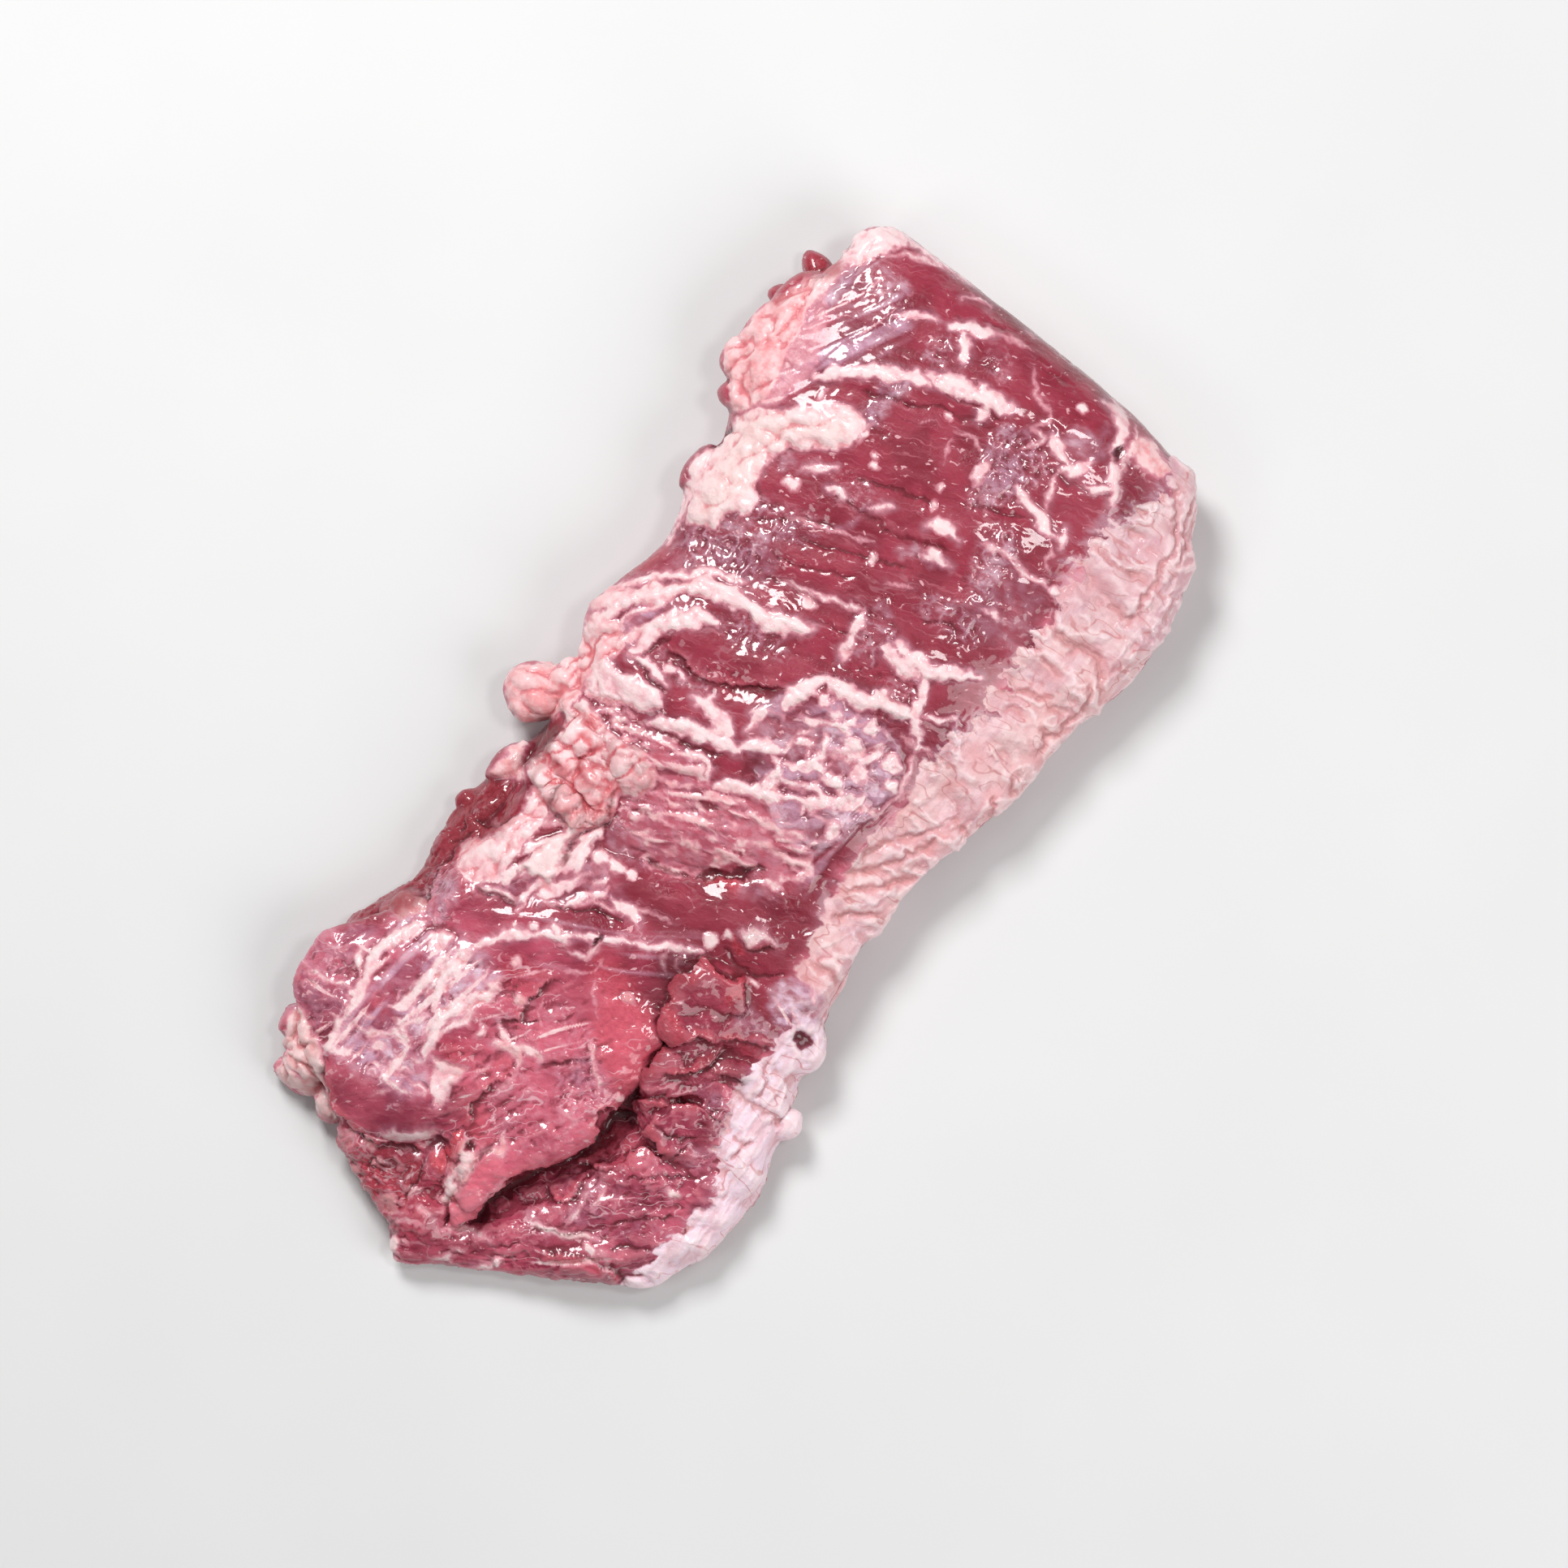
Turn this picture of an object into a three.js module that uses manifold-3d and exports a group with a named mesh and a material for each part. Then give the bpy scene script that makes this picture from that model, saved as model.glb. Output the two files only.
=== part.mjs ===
// Raw inside skirt steak: one long flat muscle, folded once across its length and lying flat.
// Millimetres, +Z up. +Y runs along the steak towards the fold, +X towards the pale membrane
// edge, and the origin is on the resting face, under the middle of the outline.

import * as THREE from 'three';
import Module from 'manifold-3d';
import { mergeVertices } from 'three/addons/utils/BufferGeometryUtils.js';

// Driving dimensions
const LAYER_HEIGHT = 17; // one layer of the folded muscle, at its middle
const LAYER_WAIST = 7; // height of the widest line of the lower layer's edge
const UPPER_FLOOR = 12.5; // underside of the upper layer, sunk into the lower one
const UPPER_WAIST = 17.5; // height of the widest line of the upper layer's edge
const THIN_END_RADIUS = 17; // length over which the open end of the lower layer thins out
const FOLD_RADIUS = 19; // roundness of the closed fold
const EDGE_RADIUS = 8.5; // roundness of the open edges
const CLOSING_START = 112; // the upper layer turns down here, to join the lower one
const CLOSING_END = 146; // and rests on the same face from here to the fold
const UNDERSIDE_RADIUS = 5; // roundness where an edge turns under
const CREVICE_DEPTH = 9.5; // how far the lower layer dips under the torn edge
const CELL = 5.9; // length of one facet on the upper layer
const LOWER_CELL = 5.9; // the same where the lower layer shows
const HIDDEN_CELL = 16; // and where the upper layer covers it
const SHOWN_LENGTH = 96; // stretch of the lower layer that shows past the upper one
const RIM_STEPS = [0, 1, 3.2, 7]; // distances of the facet rows next to an edge
const SHORTEST_EDGE = 0.03; // facet edges shorter than this are closed up

const OPEN_EDGE = [EDGE_RADIUS, UNDERSIDE_RADIUS];

// Outlines, as points [x, y] that smooth curves pass through
const LOWER_WEST = [
  [-52, -132], [-66, -118], [-76, -99], [-74, -90], [-67.5, -76], [-67, -60], [-68, -50], [-66.5, -35],
  [-61, -18], [-59, 0], [-66, 16], [-70, 30], [-65, 44], [-61, 58], [-65, 76], [-66, 92], [-70, 110],
  [-74, 132], [-72, 148], [-64, 154],
];
const LOWER_EAST = [
  [66, -136], [75, -118], [77.5, -95], [73.5, -77], [69, -62], [66.5, -50], [64.5, -38], [60, -20],
  [58.5, -5], [60, 12], [64, 28], [69, 45], [71.5, 60], [72, 80], [77, 98], [78.5, 115], [75, 135], [60, 152],
];
const LOWER_SOUTH = [
  [-52, -132], [-43, -146], [-36, -156.5], [-22, -162.5], [-10.5, -165.5], [-3.5, -177], [9, -168.5],
  [22, -160.5], [42, -149.5], [60, -140], [66, -136],
];
const LOWER_NORTH = [[-64, 154], [-30, 160], [20, 158], [60, 152]];

const UPPER_WEST = [
  [-57, -140], [-72, -129], [-79.5, -119], [-80, -104], [-72, -94], [-62, -78], [-57.5, -60], [-56, -42],
  [-58, -24], [-60, -8], [-63, 10], [-70.5, 24], [-67, 39], [-62.5, 57], [-67.5, 77], [-66, 92], [-74, 107],
  [-79, 119], [-76.5, 134], [-72, 147], [-67, 160], [-66, 170],
];
const UPPER_EAST = [
  [7, -149], [9.5, -137], [18, -124], [24.5, -108], [25.5, -88], [28, -70], [41, -54], [60, -41], [61.5, -26],
  [60, -12], [61.5, 6], [64, 22], [69, 40], [73, 54], [74.5, 78], [81, 100], [81.2, 118], [77.5, 137],
  [68, 156], [59, 165.5],
];
const UPPER_SOUTH = [[-57, -140], [-40, -146.5], [-22, -141.5], [-12.5, -133], [-5, -141], [7, -149]];
const UPPER_NORTH = [[-66, 170], [-57, 175.5], [-40, 175], [0, 173.3], [35, 170], [50, 166.5], [59, 165.5]];

// Heights of the upper layer along its length: [y, left edge, crown, right edge]
const UPPER_STATIONS = [
  [-150, 15, 20, 21], [-130, 17, 25, 24], [-100, 20, 28.5, 26], [-62, 21, 30, 28], [-30, 23, 29.5, 24],
  [-10, 24, 33.5, 21], [30, 24, 37, 21], [70, 25, 39.5, 21], [110, 26, 40.5, 21], [150, 29, 39, 26],
  [176, 32, 37, 32],
];
// Heights of the lower layer where it shows, in the same way
const LOWER_STATIONS = [
  [-176, 11, 13, 10], [-160, 14, 15, 12], [-140, 15, 17, 13], [-110, 16, 18.5, 15], [-70, 16, 20, 19],
  [-30, 16, 18, 18], [176, 15, LAYER_HEIGHT, 15],
];

// Cross wrinkles, seams of fat and folds that rise from or sink into the upper layer
const UPPER_CRESTS = [
  { along: [[-66, 24], [-58, 39], [-46, 49], [-30, 54], [-10, 59]], width: 4, rise: 2 },
  { along: [[-50, 26], [-44, 39], [-33, 41.5]], width: 4, rise: 1.6 },
  { along: [[-57, 17], [-34, 13], [-6, 15], [26, 17]], width: 4.5, rise: 1.8 },
  { along: [[-30, -1], [-8, 4], [20, 4], [42, 12]], width: 5, rise: 1.4 },
  { along: [[-6, 34], [0, 46], [18, 51], [30, 56]], width: 4.5, rise: 1.5 },
  { along: [[12, 68], [28, 70], [41, 76]], width: 4.5, rise: 1.2 },
  { along: [[-23, 145], [1, 148.5]], width: 5, rise: 1.3 },
  { along: [[-53, 123], [-38, 135], [-23, 141]], width: 4.5, rise: 1.2 },
  { along: [[-43, 28], [-27, 27], [-6, 38]], width: 4.5, rise: -2 },
  { along: [[-50, 62], [-20, 61], [12, 62]], width: 6, rise: -1.2 },
  { along: [[-45, 76], [-28, 85], [8, 92], [38, 98]], width: 6, rise: -0.9 },
  { along: [[22, -8], [13, -17], [4, -24], [-10, -28]], width: 4.5, rise: -5 },
  { along: [[-60, -14], [-56, -24]], width: 4, rise: -5 },
  { along: [[20, -41], [0, -52], [-20, -62], [-34, -76]], width: 4.5, rise: 1.3 },
  { along: [[-50, -34], [-48, -50], [-52, -64]], width: 6, rise: 2.6 },
  { along: [[-36, -34], [-36, -50]], width: 4.5, rise: 2 },
  { along: [[-60, -92], [-60, -112], [-58, -130]], width: 4.5, rise: 1.4 },
  { along: [[-30, -92], [-33, -108], [-28, -124]], width: 5, rise: 1.4 },
  { along: [[-16, -100], [-12, -118]], width: 5, rise: -1.6 },
];
const UPPER_SWELLS = [
  { at: [-49, 112], size: [16, 10], rise: 1.8 },
  { at: [-56, 82], size: [10, 15], rise: 2 },
  { at: [-8, 38], size: [20, 8], rise: 1.6 },
  { at: [14, 34], size: [16, 9], rise: 1.4 },
  { at: [3, -7], size: [9, 6], rise: 2 },
  { at: [31, -30], size: [17, 9], rise: 1.2 },
  { at: [14, -80], size: [12, 15], rise: 2.2 },
  { at: [-35, -138], size: [22, 8], rise: 2 },
  { at: [54, 30], size: [10, 26], rise: -1.4 },
  { at: [57, 110], size: [10, 34], rise: -1.2 },
];

// Ripples of the lower layer's torn face: the dip under the upper layer's edge and its folds
const LOWER_CRESTS = [
  { along: [[8, -152], [12, -138], [21, -123], [28, -108], [31, -96]], width: 7.5, rise: -CREVICE_DEPTH },
  { along: [[38, -128], [52, -116], [64, -104]], width: 5, rise: 1.6 },
  { along: [[36, -140], [52, -134], [62, -126]], width: 4.5, rise: 1.4 },
  { along: [[-13, -143], [-11, -162]], width: 4, rise: 1.8 },
  { along: [[2, -158], [4, -170]], width: 4.5, rise: 1.4 },
  { along: [[54, -70], [68, -72]], width: 4, rise: -2 },
];
const LOWER_SWELLS = [
  { at: [60, -45], size: [5, 4], rise: -6 },
  { at: [-27, -152], size: [12, 7], rise: 1.8 },
  { at: [26, -123], size: [5.5, 8], rise: 2.4 },
];

// Torn flaps of muscle that lie over one another beside the dip, top one last. Each leans away
// from its first point, by its slope along X and along Y.
const FLAPS = [
  {
    outline: [[28, -117], [33, -113], [35.5, -108], [41, -101], [52, -98], [70, -100], [66, -110], [46, -117]],
    level: 18.5, lean: [-0.05, 0.03],
  },
  {
    outline: [[31, -92], [38, -86], [46, -79], [60, -82], [69, -90], [58, -98], [48, -99], [42, -101], [35, -95]],
    level: 24, lean: [-0.17, 0.03],
  },
  {
    outline: [[28, -66], [27, -76], [28.5, -86], [31, -94], [36, -87], [45, -81], [66, -80], [66, -60], [42, -57]],
    level: 28, lean: [-0.24, 0.04],
  },
  {
    outline: [[22, -42], [20.5, -50], [19, -55], [21.5, -66], [29, -69], [38, -63], [66, -57], [66, -40], [40, -38]],
    level: 33, lean: [-0.3, 0],
  },
];
const FLAP_EDGE = 4; // roundness of a flap's rim
const FLAP_ROOT = 8; // height of its root, inside the lower layer
const FLAP_RINGS = [1, 0.93, 0.8, 0.5]; // its facet rings, as shares of its reach

// Fat and torn ends that stand out from the edges: [x, y, z] of the middle, three radii, turn
const LUMPS = [
  { at: [-68.5, -5.5, 13.5], radii: [10.5, 10, 9], turn: 20 }, // ball of fat
  { at: [-61, 4, 17], radii: [8, 7, 7], turn: 30 },
  { at: [-54, -1, 23], radii: [7, 5, 5], turn: 12 }, // cluster of fat at the middle of the open edge
  { at: [-47.5, -8, 24.5], radii: [6, 9, 5], turn: 12 },
  { at: [-49, -17, 23.5], radii: [7, 6.5, 5], turn: 30 },
  { at: [-31.5, -7, 29], radii: [10, 6, 4.6], turn: 160 },
  { at: [-36, -17, 27.5], radii: [7, 8, 4.5], turn: 10 },
  { at: [-51, -26, 22.5], radii: [8, 6.5, 4.4], turn: 160 },
  { at: [-38, -27, 27], radii: [10, 5.5, 3.6], turn: 10 },
  { at: [-62.5, -28, 12], radii: [5, 9, 5.5], turn: 165 },
  { at: [-62, -82, 15], radii: [6, 5.5, 4.6], turn: 30 },
  { at: [-69.5, -132, 7.5], radii: [6.2, 6, 6.8], turn: 120 }, // fat lobes under the open end
  { at: [-61.5, -139, 8.5], radii: [9.5, 7.5, 8], turn: 130 },
  { at: [-59.5, -145, 5.5], radii: [9.5, 5, 5.3], turn: 12 },
  { at: [-47.5, -145, 6], radii: [6.2, 6.2, 6], turn: 0 },
  { at: [-3, -140, 14], radii: [4, 8, 6], turn: 5 },
  { at: [-73.5, 141, 17.5], radii: [4.6, 10, 7.5], turn: 166 }, // ruffle of fat by the fold
  { at: [-76.5, 127, 18.5], radii: [4, 9.5, 7.5], turn: 176 },
  { at: [-76, 114, 18], radii: [6, 6.5, 7], turn: 30 },
  { at: [-69.5, 105, 18], radii: [7, 5, 6.5], turn: 30 },
  { at: [-66.5, 80, 19], radii: [4.4, 9, 6], turn: 0 },
  { at: [-58.5, 164.5, 21], radii: [9.5, 10, 9.5], turn: 35 },
  { at: [-71.5, 151.5, 7.5], radii: [8, 4.6, 6], turn: 160 }, // torn ends of the lower layer
  { at: [-75.5, 139, 7.5], radii: [6, 4, 5.5], turn: 20 },
  { at: [72, -71, 9], radii: [4, 6, 6], turn: 170 },
  { at: [-66.5, -45, 8], radii: [3.6, 4, 5], turn: 0 },
];
const LUMP_SEGMENTS = 11;
const LUMP_RINGS = 7;

// The strip of muscle that hangs over the notch at the open end
const TONGUE = { from: [7, -118, 19], to: [5, -156.5, 8.5], radii: [6.2, 5.5], bend: 2.2 };
const TONGUE_STEPS = 9;
const TONGUE_SIDES = 10;

const wasm = await Module();
wasm.setup();

const { lerp, smoothstep, degToRad } = THREE.MathUtils;

function smoothCurve(points) {
  return new THREE.SplineCurve(points.map(([x, y]) => new THREE.Vector2(x, y)));
}

// Height above an edge's widest line, as a share of the full height: a quarter circle
function roundOff(distance, radius) {
  const reach = Math.min(distance / radius, 1);
  return Math.sqrt(1 - (1 - reach) ** 2);
}

function distanceToPath(x, y, path) {
  const point = new THREE.Vector3(x, y, 0);
  const nearest = new THREE.Vector3();
  let shortest = Infinity;
  for (let i = 1; i < path.length; i += 1) {
    const start = new THREE.Vector3(...path[i - 1], 0);
    const end = new THREE.Vector3(...path[i], 0);
    new THREE.Line3(start, end).closestPointToPoint(point, true, nearest);
    shortest = Math.min(shortest, nearest.distanceTo(point));
  }
  return shortest;
}

function crestHeight(crests, x, y) {
  return crests.reduce((sum, { along, width, rise }) => {
    return sum + rise * Math.exp(-((distanceToPath(x, y, along) / width) ** 2));
  }, 0);
}

function swellHeight(swells, x, y) {
  return swells.reduce((sum, { at, size, rise }) => {
    return sum + rise * Math.exp(-(((x - at[0]) / size[0]) ** 2) - (((y - at[1]) / size[1]) ** 2));
  }, 0);
}

// Low, uneven ripple of soft meat, with its long waves across the steak
function ripple(x, y) {
  const across = Math.sin(0.31 * y - 0.09 * x + 1.3 * Math.sin(0.05 * x + 0.02 * y));
  const along = Math.sin(0.17 * x + 0.05 * y + 1.1 * Math.sin(0.06 * y));
  return 0.45 * across + 0.4 * along;
}

// Slow rise and fall of an edge along the steak
function sway(y) {
  return 1.3 * Math.sin(0.047 * y + 0.6) + 0.7 * Math.sin(0.11 * y);
}

// Left, crown and right heights at a place along the steak
function heightsAt(stations, y) {
  const next = stations.findIndex((station) => station[0] > y);
  if (next <= 0) {
    return (next === 0 ? stations[0] : stations.at(-1)).slice(1);
  }
  const [before, after] = [stations[next - 1], stations[next]];
  const blend = smoothstep(y, before[0], after[0]);
  return before.slice(1).map((height, i) => lerp(height, after[i + 1], blend));
}

// A section that swells from its two edges to a broad crown
function crownedHeight(stations, u, y) {
  const [left, crown, right] = heightsAt(stations, y);
  const edge = lerp(left, right, smoothstep(u, 0, 1));
  return lerp(edge, crown, 1 - Math.abs(2 * u - 1) ** 2.4);
}

// Places of the facet rows along a side: close together at both ends, then even.
// Each span is [distance at which it ends, length of its cells].
function facetRows(length, spans) {
  const near = RIM_STEPS.map((distance) => distance / length);
  const far = RIM_STEPS.map((distance) => 1 - distance / length).reverse();
  const rows = [];
  let start = RIM_STEPS.at(-1);
  spans.forEach(([end, cell]) => {
    const stop = Math.min(end, length - RIM_STEPS.at(-1));
    const cells = Math.max(1, Math.round((stop - start) / cell));
    for (let i = 1; i <= cells; i += 1) {
      rows.push(lerp(start, stop, i / cells) / length);
    }
    start = stop;
  });
  rows.pop();
  return [...near, ...rows, ...far];
}

function solidFrom(positions, faces) {
  const geometry = new THREE.BufferGeometry();
  geometry.setAttribute('position', new THREE.Float32BufferAttribute(positions, 3));
  geometry.setIndex(faces);
  return solidFromGeometry(geometry);
}

function solidFromGeometry(geometry) {
  geometry.deleteAttribute('normal');
  geometry.deleteAttribute('uv');
  const merged = mergeVertices(geometry, 1e-4);
  const index = Array.from(merged.index.array);
  const triVerts = [];
  for (let i = 0; i < index.length; i += 3) {
    const [a, b, c] = index.slice(i, i + 3);
    if (a !== b && b !== c && c !== a) {
      triVerts.push(a, b, c);
    }
  }
  return new wasm.Manifold(new wasm.Mesh({
    numProp: 3,
    vertProperties: new Float32Array(merged.attributes.position.array),
    triVerts: new Uint32Array(triVerts),
  }));
}

// A soft layer between four side curves. heights(u, v, x, y) gives its top, waist and underside,
// and radii gives how round each side is above and below the waist.
function layer({ south, east, north, west, columns, rows, heights, radii }) {
  const sides = [south, east, north, west].map(smoothCurve);
  const [southSide, eastSide, northSide, westSide] = sides;
  const corner = [southSide.getPointAt(0), southSide.getPointAt(1), northSide.getPointAt(0), northSide.getPointAt(1)];
  const across = facetRows(southSide.getPointAt(0).distanceTo(southSide.getPointAt(1)), columns);
  const along = facetRows(westSide.getLength(), rows);
  const span = across.length;
  const top = [];
  const under = [];
  along.forEach((v) => {
    const left = westSide.getPointAt(v);
    const right = eastSide.getPointAt(v);
    const width = left.distanceTo(right);
    across.forEach((u) => {
      const low = southSide.getPointAt(u);
      const high = northSide.getPointAt(u);
      const length = low.distanceTo(high);
      const x = blendSides(u, v, left.x, right.x, low.x, high.x, corner.map((point) => point.x));
      const y = blendSides(u, v, left.y, right.y, low.y, high.y, corner.map((point) => point.y));
      const reach = [v * length, (1 - u) * width, (1 - v) * length, u * width];
      const rounding = (side) => reach.reduce((share, distance, i) => share * roundOff(distance, radii[i][side]), 1);
      const { crown, waist, floor } = heights(u, v, x, y);
      top.push(x, y, lerp(waist, crown, rounding(0)));
      under.push(x, y, lerp(waist, floor, rounding(1)));
    });
  });
  const faces = [];
  const underStart = top.length / 3;
  for (let j = 1; j < along.length; j += 1) {
    for (let i = 1; i < span; i += 1) {
      const [a, b, c, d] = [(j - 1) * span + i - 1, (j - 1) * span + i, j * span + i, j * span + i - 1];
      faces.push(a, b, c, a, c, d);
      faces.push(underStart + a, underStart + c, underStart + b, underStart + a, underStart + d, underStart + c);
    }
  }
  return solidFrom([...top, ...under], faces);
}

// Coons patch: one coordinate of a point between four sides
function blendSides(u, v, left, right, low, high, [lowLeft, lowRight, highLeft, highRight]) {
  const straight = lerp(lerp(lowLeft, lowRight, u), lerp(highLeft, highRight, u), v);
  return lerp(left, right, u) + lerp(low, high, v) - straight;
}

function lowerLayer() {
  return layer({
    south: LOWER_SOUTH,
    east: LOWER_EAST,
    north: LOWER_NORTH,
    west: LOWER_WEST,
    columns: [[Infinity, LOWER_CELL]],
    rows: [[SHOWN_LENGTH, LOWER_CELL], [Infinity, HIDDEN_CELL]],
    heights: (u, v, x, y) => ({
      crown: crownedHeight(LOWER_STATIONS, u, y) + crestHeight(LOWER_CRESTS, x, y)
        + swellHeight(LOWER_SWELLS, x, y) + ripple(x, y),
      waist: LAYER_WAIST + 0.6 * sway(y),
      floor: 0,
    }),
    radii: [[THIN_END_RADIUS, UNDERSIDE_RADIUS], OPEN_EDGE, OPEN_EDGE, OPEN_EDGE],
  });
}

function upperLayer() {
  return layer({
    south: UPPER_SOUTH,
    east: UPPER_EAST,
    north: UPPER_NORTH,
    west: UPPER_WEST,
    columns: [[Infinity, CELL]],
    rows: [[Infinity, CELL]],
    heights: (u, v, x, y) => {
      const closing = smoothstep(y, CLOSING_START, CLOSING_END);
      return {
        crown: crownedHeight(UPPER_STATIONS, u, y) + crestHeight(UPPER_CRESTS, x, y)
          + swellHeight(UPPER_SWELLS, x, y) + ripple(x, y),
        waist: UPPER_WAIST + sway(y),
        floor: lerp(UPPER_FLOOR + 0.6 * sway(y), 0, closing),
      };
    },
    radii: [OPEN_EDGE, OPEN_EDGE, [FOLD_RADIUS, FOLD_RADIUS], OPEN_EDGE],
  });
}

// A torn flap: a leaning pad inside a closed curve, standing on a sunk root
function flap({ outline, level, lean }) {
  const [start] = outline;
  const rim = smoothCurve([...outline, start]);
  const points = rim.getSpacedPoints(Math.round(rim.getLength() / CELL)).slice(0, -1);
  if (THREE.ShapeUtils.isClockWise(points)) {
    points.reverse();
  }
  const count = points.length;
  const middle = points.reduce((sum, point) => sum.add(point), new THREE.Vector2()).divideScalar(count);
  const heightAt = ({ x, y }) => level + lean[0] * (x - start[0]) + lean[1] * (y - start[1]) + ripple(x, y);
  const positions = [];
  FLAP_RINGS.forEach((share) => {
    points.forEach((point) => {
      const place = middle.clone().lerp(point, share);
      const drop = FLAP_EDGE * (1 - roundOff(place.distanceTo(point), FLAP_EDGE));
      positions.push(place.x, place.y, heightAt(place) - drop);
    });
  });
  const centre = positions.length / 3;
  positions.push(middle.x, middle.y, heightAt(middle));
  points.forEach((point) => positions.push(point.x, point.y, FLAP_ROOT));
  const root = positions.length / 3;
  positions.push(middle.x, middle.y, FLAP_ROOT);
  const faces = [];
  for (let i = 0; i < count; i += 1) {
    const next = (i + 1) % count;
    for (let ring = count; ring < FLAP_RINGS.length * count; ring += count) {
      faces.push(ring - count + i, ring - count + next, ring + next, ring - count + i, ring + next, ring + i);
    }
    faces.push(centre - count + i, centre - count + next, centre);
    faces.push(centre + 1 + i, centre + 1 + next, next, centre + 1 + i, next, i);
    faces.push(centre + 1 + next, centre + 1 + i, root);
  }
  return solidFrom(positions, faces);
}

// A soft lump: a ball pressed to three radii, with shallow dents
function lump({ at, radii, turn }) {
  const geometry = new THREE.SphereGeometry(1, LUMP_SEGMENTS, LUMP_RINGS);
  const position = geometry.attributes.position;
  const point = new THREE.Vector3();
  for (let i = 0; i < position.count; i += 1) {
    point.fromBufferAttribute(position, i);
    const dent = 0.07 * Math.sin(5 * point.x + at[0]) * Math.cos(4 * point.y + at[1]);
    point.multiplyScalar(1 + dent);
    position.setXYZ(i, point.x * radii[0], point.y * radii[1], Math.max(point.z * radii[2], -at[2]));
  }
  geometry.rotateZ(degToRad(turn));
  geometry.translate(...at);
  return solidFromGeometry(geometry);
}

// The tongue: a tapering rounded strip along a slightly bent line
function tongue({ from, to, radii, bend }) {
  const positions = [];
  for (let step = 0; step <= TONGUE_STEPS; step += 1) {
    const t = step / TONGUE_STEPS;
    const girth = Math.sqrt(1 - (2 * t - 1) ** 4) * (1 - 0.35 * t) + 0.04;
    for (let side = 0; side < TONGUE_SIDES; side += 1) {
      const angle = (side / TONGUE_SIDES) * 2 * Math.PI;
      positions.push(
        lerp(from[0], to[0], t) - bend * Math.sin(Math.PI * t) + Math.cos(angle) * radii[0] * girth,
        lerp(from[1], to[1], t),
        lerp(from[2], to[2], t) + Math.sin(angle) * radii[1] * girth,
      );
    }
  }
  const faces = [];
  for (let step = 1; step <= TONGUE_STEPS; step += 1) {
    for (let side = 0; side < TONGUE_SIDES; side += 1) {
      const next = (side + 1) % TONGUE_SIDES;
      const [far, near] = [step * TONGUE_SIDES, (step - 1) * TONGUE_SIDES];
      faces.push(near + side, near + next, far + next, near + side, far + next, far + side);
    }
  }
  for (let side = 1; side < TONGUE_SIDES - 1; side += 1) {
    const last = TONGUE_STEPS * TONGUE_SIDES;
    faces.push(0, side + 1, side);
    faces.push(last, last + side, last + side + 1);
  }
  return solidFrom(positions, faces);
}

// Closes up the edges that the joins leave too short, each onto one of its ends
function closeShortEdges(positions, faces) {
  const home = Array.from({ length: positions.length / 3 }, (_, i) => i);
  const homeOf = (i) => (home[i] === i ? i : homeOf(home[i]));
  const pointAt = (i) => new THREE.Vector3().fromArray(positions, 3 * i);
  for (let i = 0; i < faces.length; i += 1) {
    const start = faces[i];
    const end = faces[i % 3 === 2 ? i - 2 : i + 1];
    if (pointAt(start).distanceTo(pointAt(end)) < SHORTEST_EDGE) {
      home[homeOf(Math.max(start, end))] = homeOf(Math.min(start, end));
    }
  }
  const kept = [];
  for (let i = 0; i < faces.length; i += 3) {
    const [a, b, c] = [homeOf(faces[i]), homeOf(faces[i + 1]), homeOf(faces[i + 2])];
    if (a !== b && b !== c && c !== a) {
      kept.push(a, b, c);
    }
  }
  return kept;
}

function geometryOf(solid) {
  const { numProp, vertProperties, triVerts } = solid.getMesh();
  const positions = [];
  for (let i = 0; i < vertProperties.length; i += numProp) {
    positions.push(...vertProperties.slice(i, i + 3));
  }
  const geometry = new THREE.BufferGeometry();
  geometry.setAttribute('position', new THREE.Float32BufferAttribute(positions, 3));
  geometry.setIndex(closeShortEdges(positions, Array.from(triVerts)));
  geometry.computeVertexNormals();
  return geometry;
}

function skirtSteak() {
  const pieces = [upperLayer(), ...FLAPS.map(flap), ...LUMPS.map(lump), tongue(TONGUE)];
  const solid = pieces.reduce((whole, piece) => whole.add(piece), lowerLayer());
  const material = new THREE.MeshStandardMaterial({ color: 0xa1505e, roughness: 0.38, metalness: 0 });
  const mesh = new THREE.Mesh(geometryOf(solid), material);
  mesh.name = 'skirt_steak';
  return mesh;
}

const steak = new THREE.Group();
steak.add(skirtSteak());

export default steak;
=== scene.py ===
"""The looks of a raw inside skirt steak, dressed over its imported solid.

Lengths are millimetres unless a name ends in _m, and angles are degrees. x runs across the steak, y along it
and z up. The solid becomes a fine skin, which is carved, and the carving leaves marks on it, such as fat or
blood, that the one material reads.
"""

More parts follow.
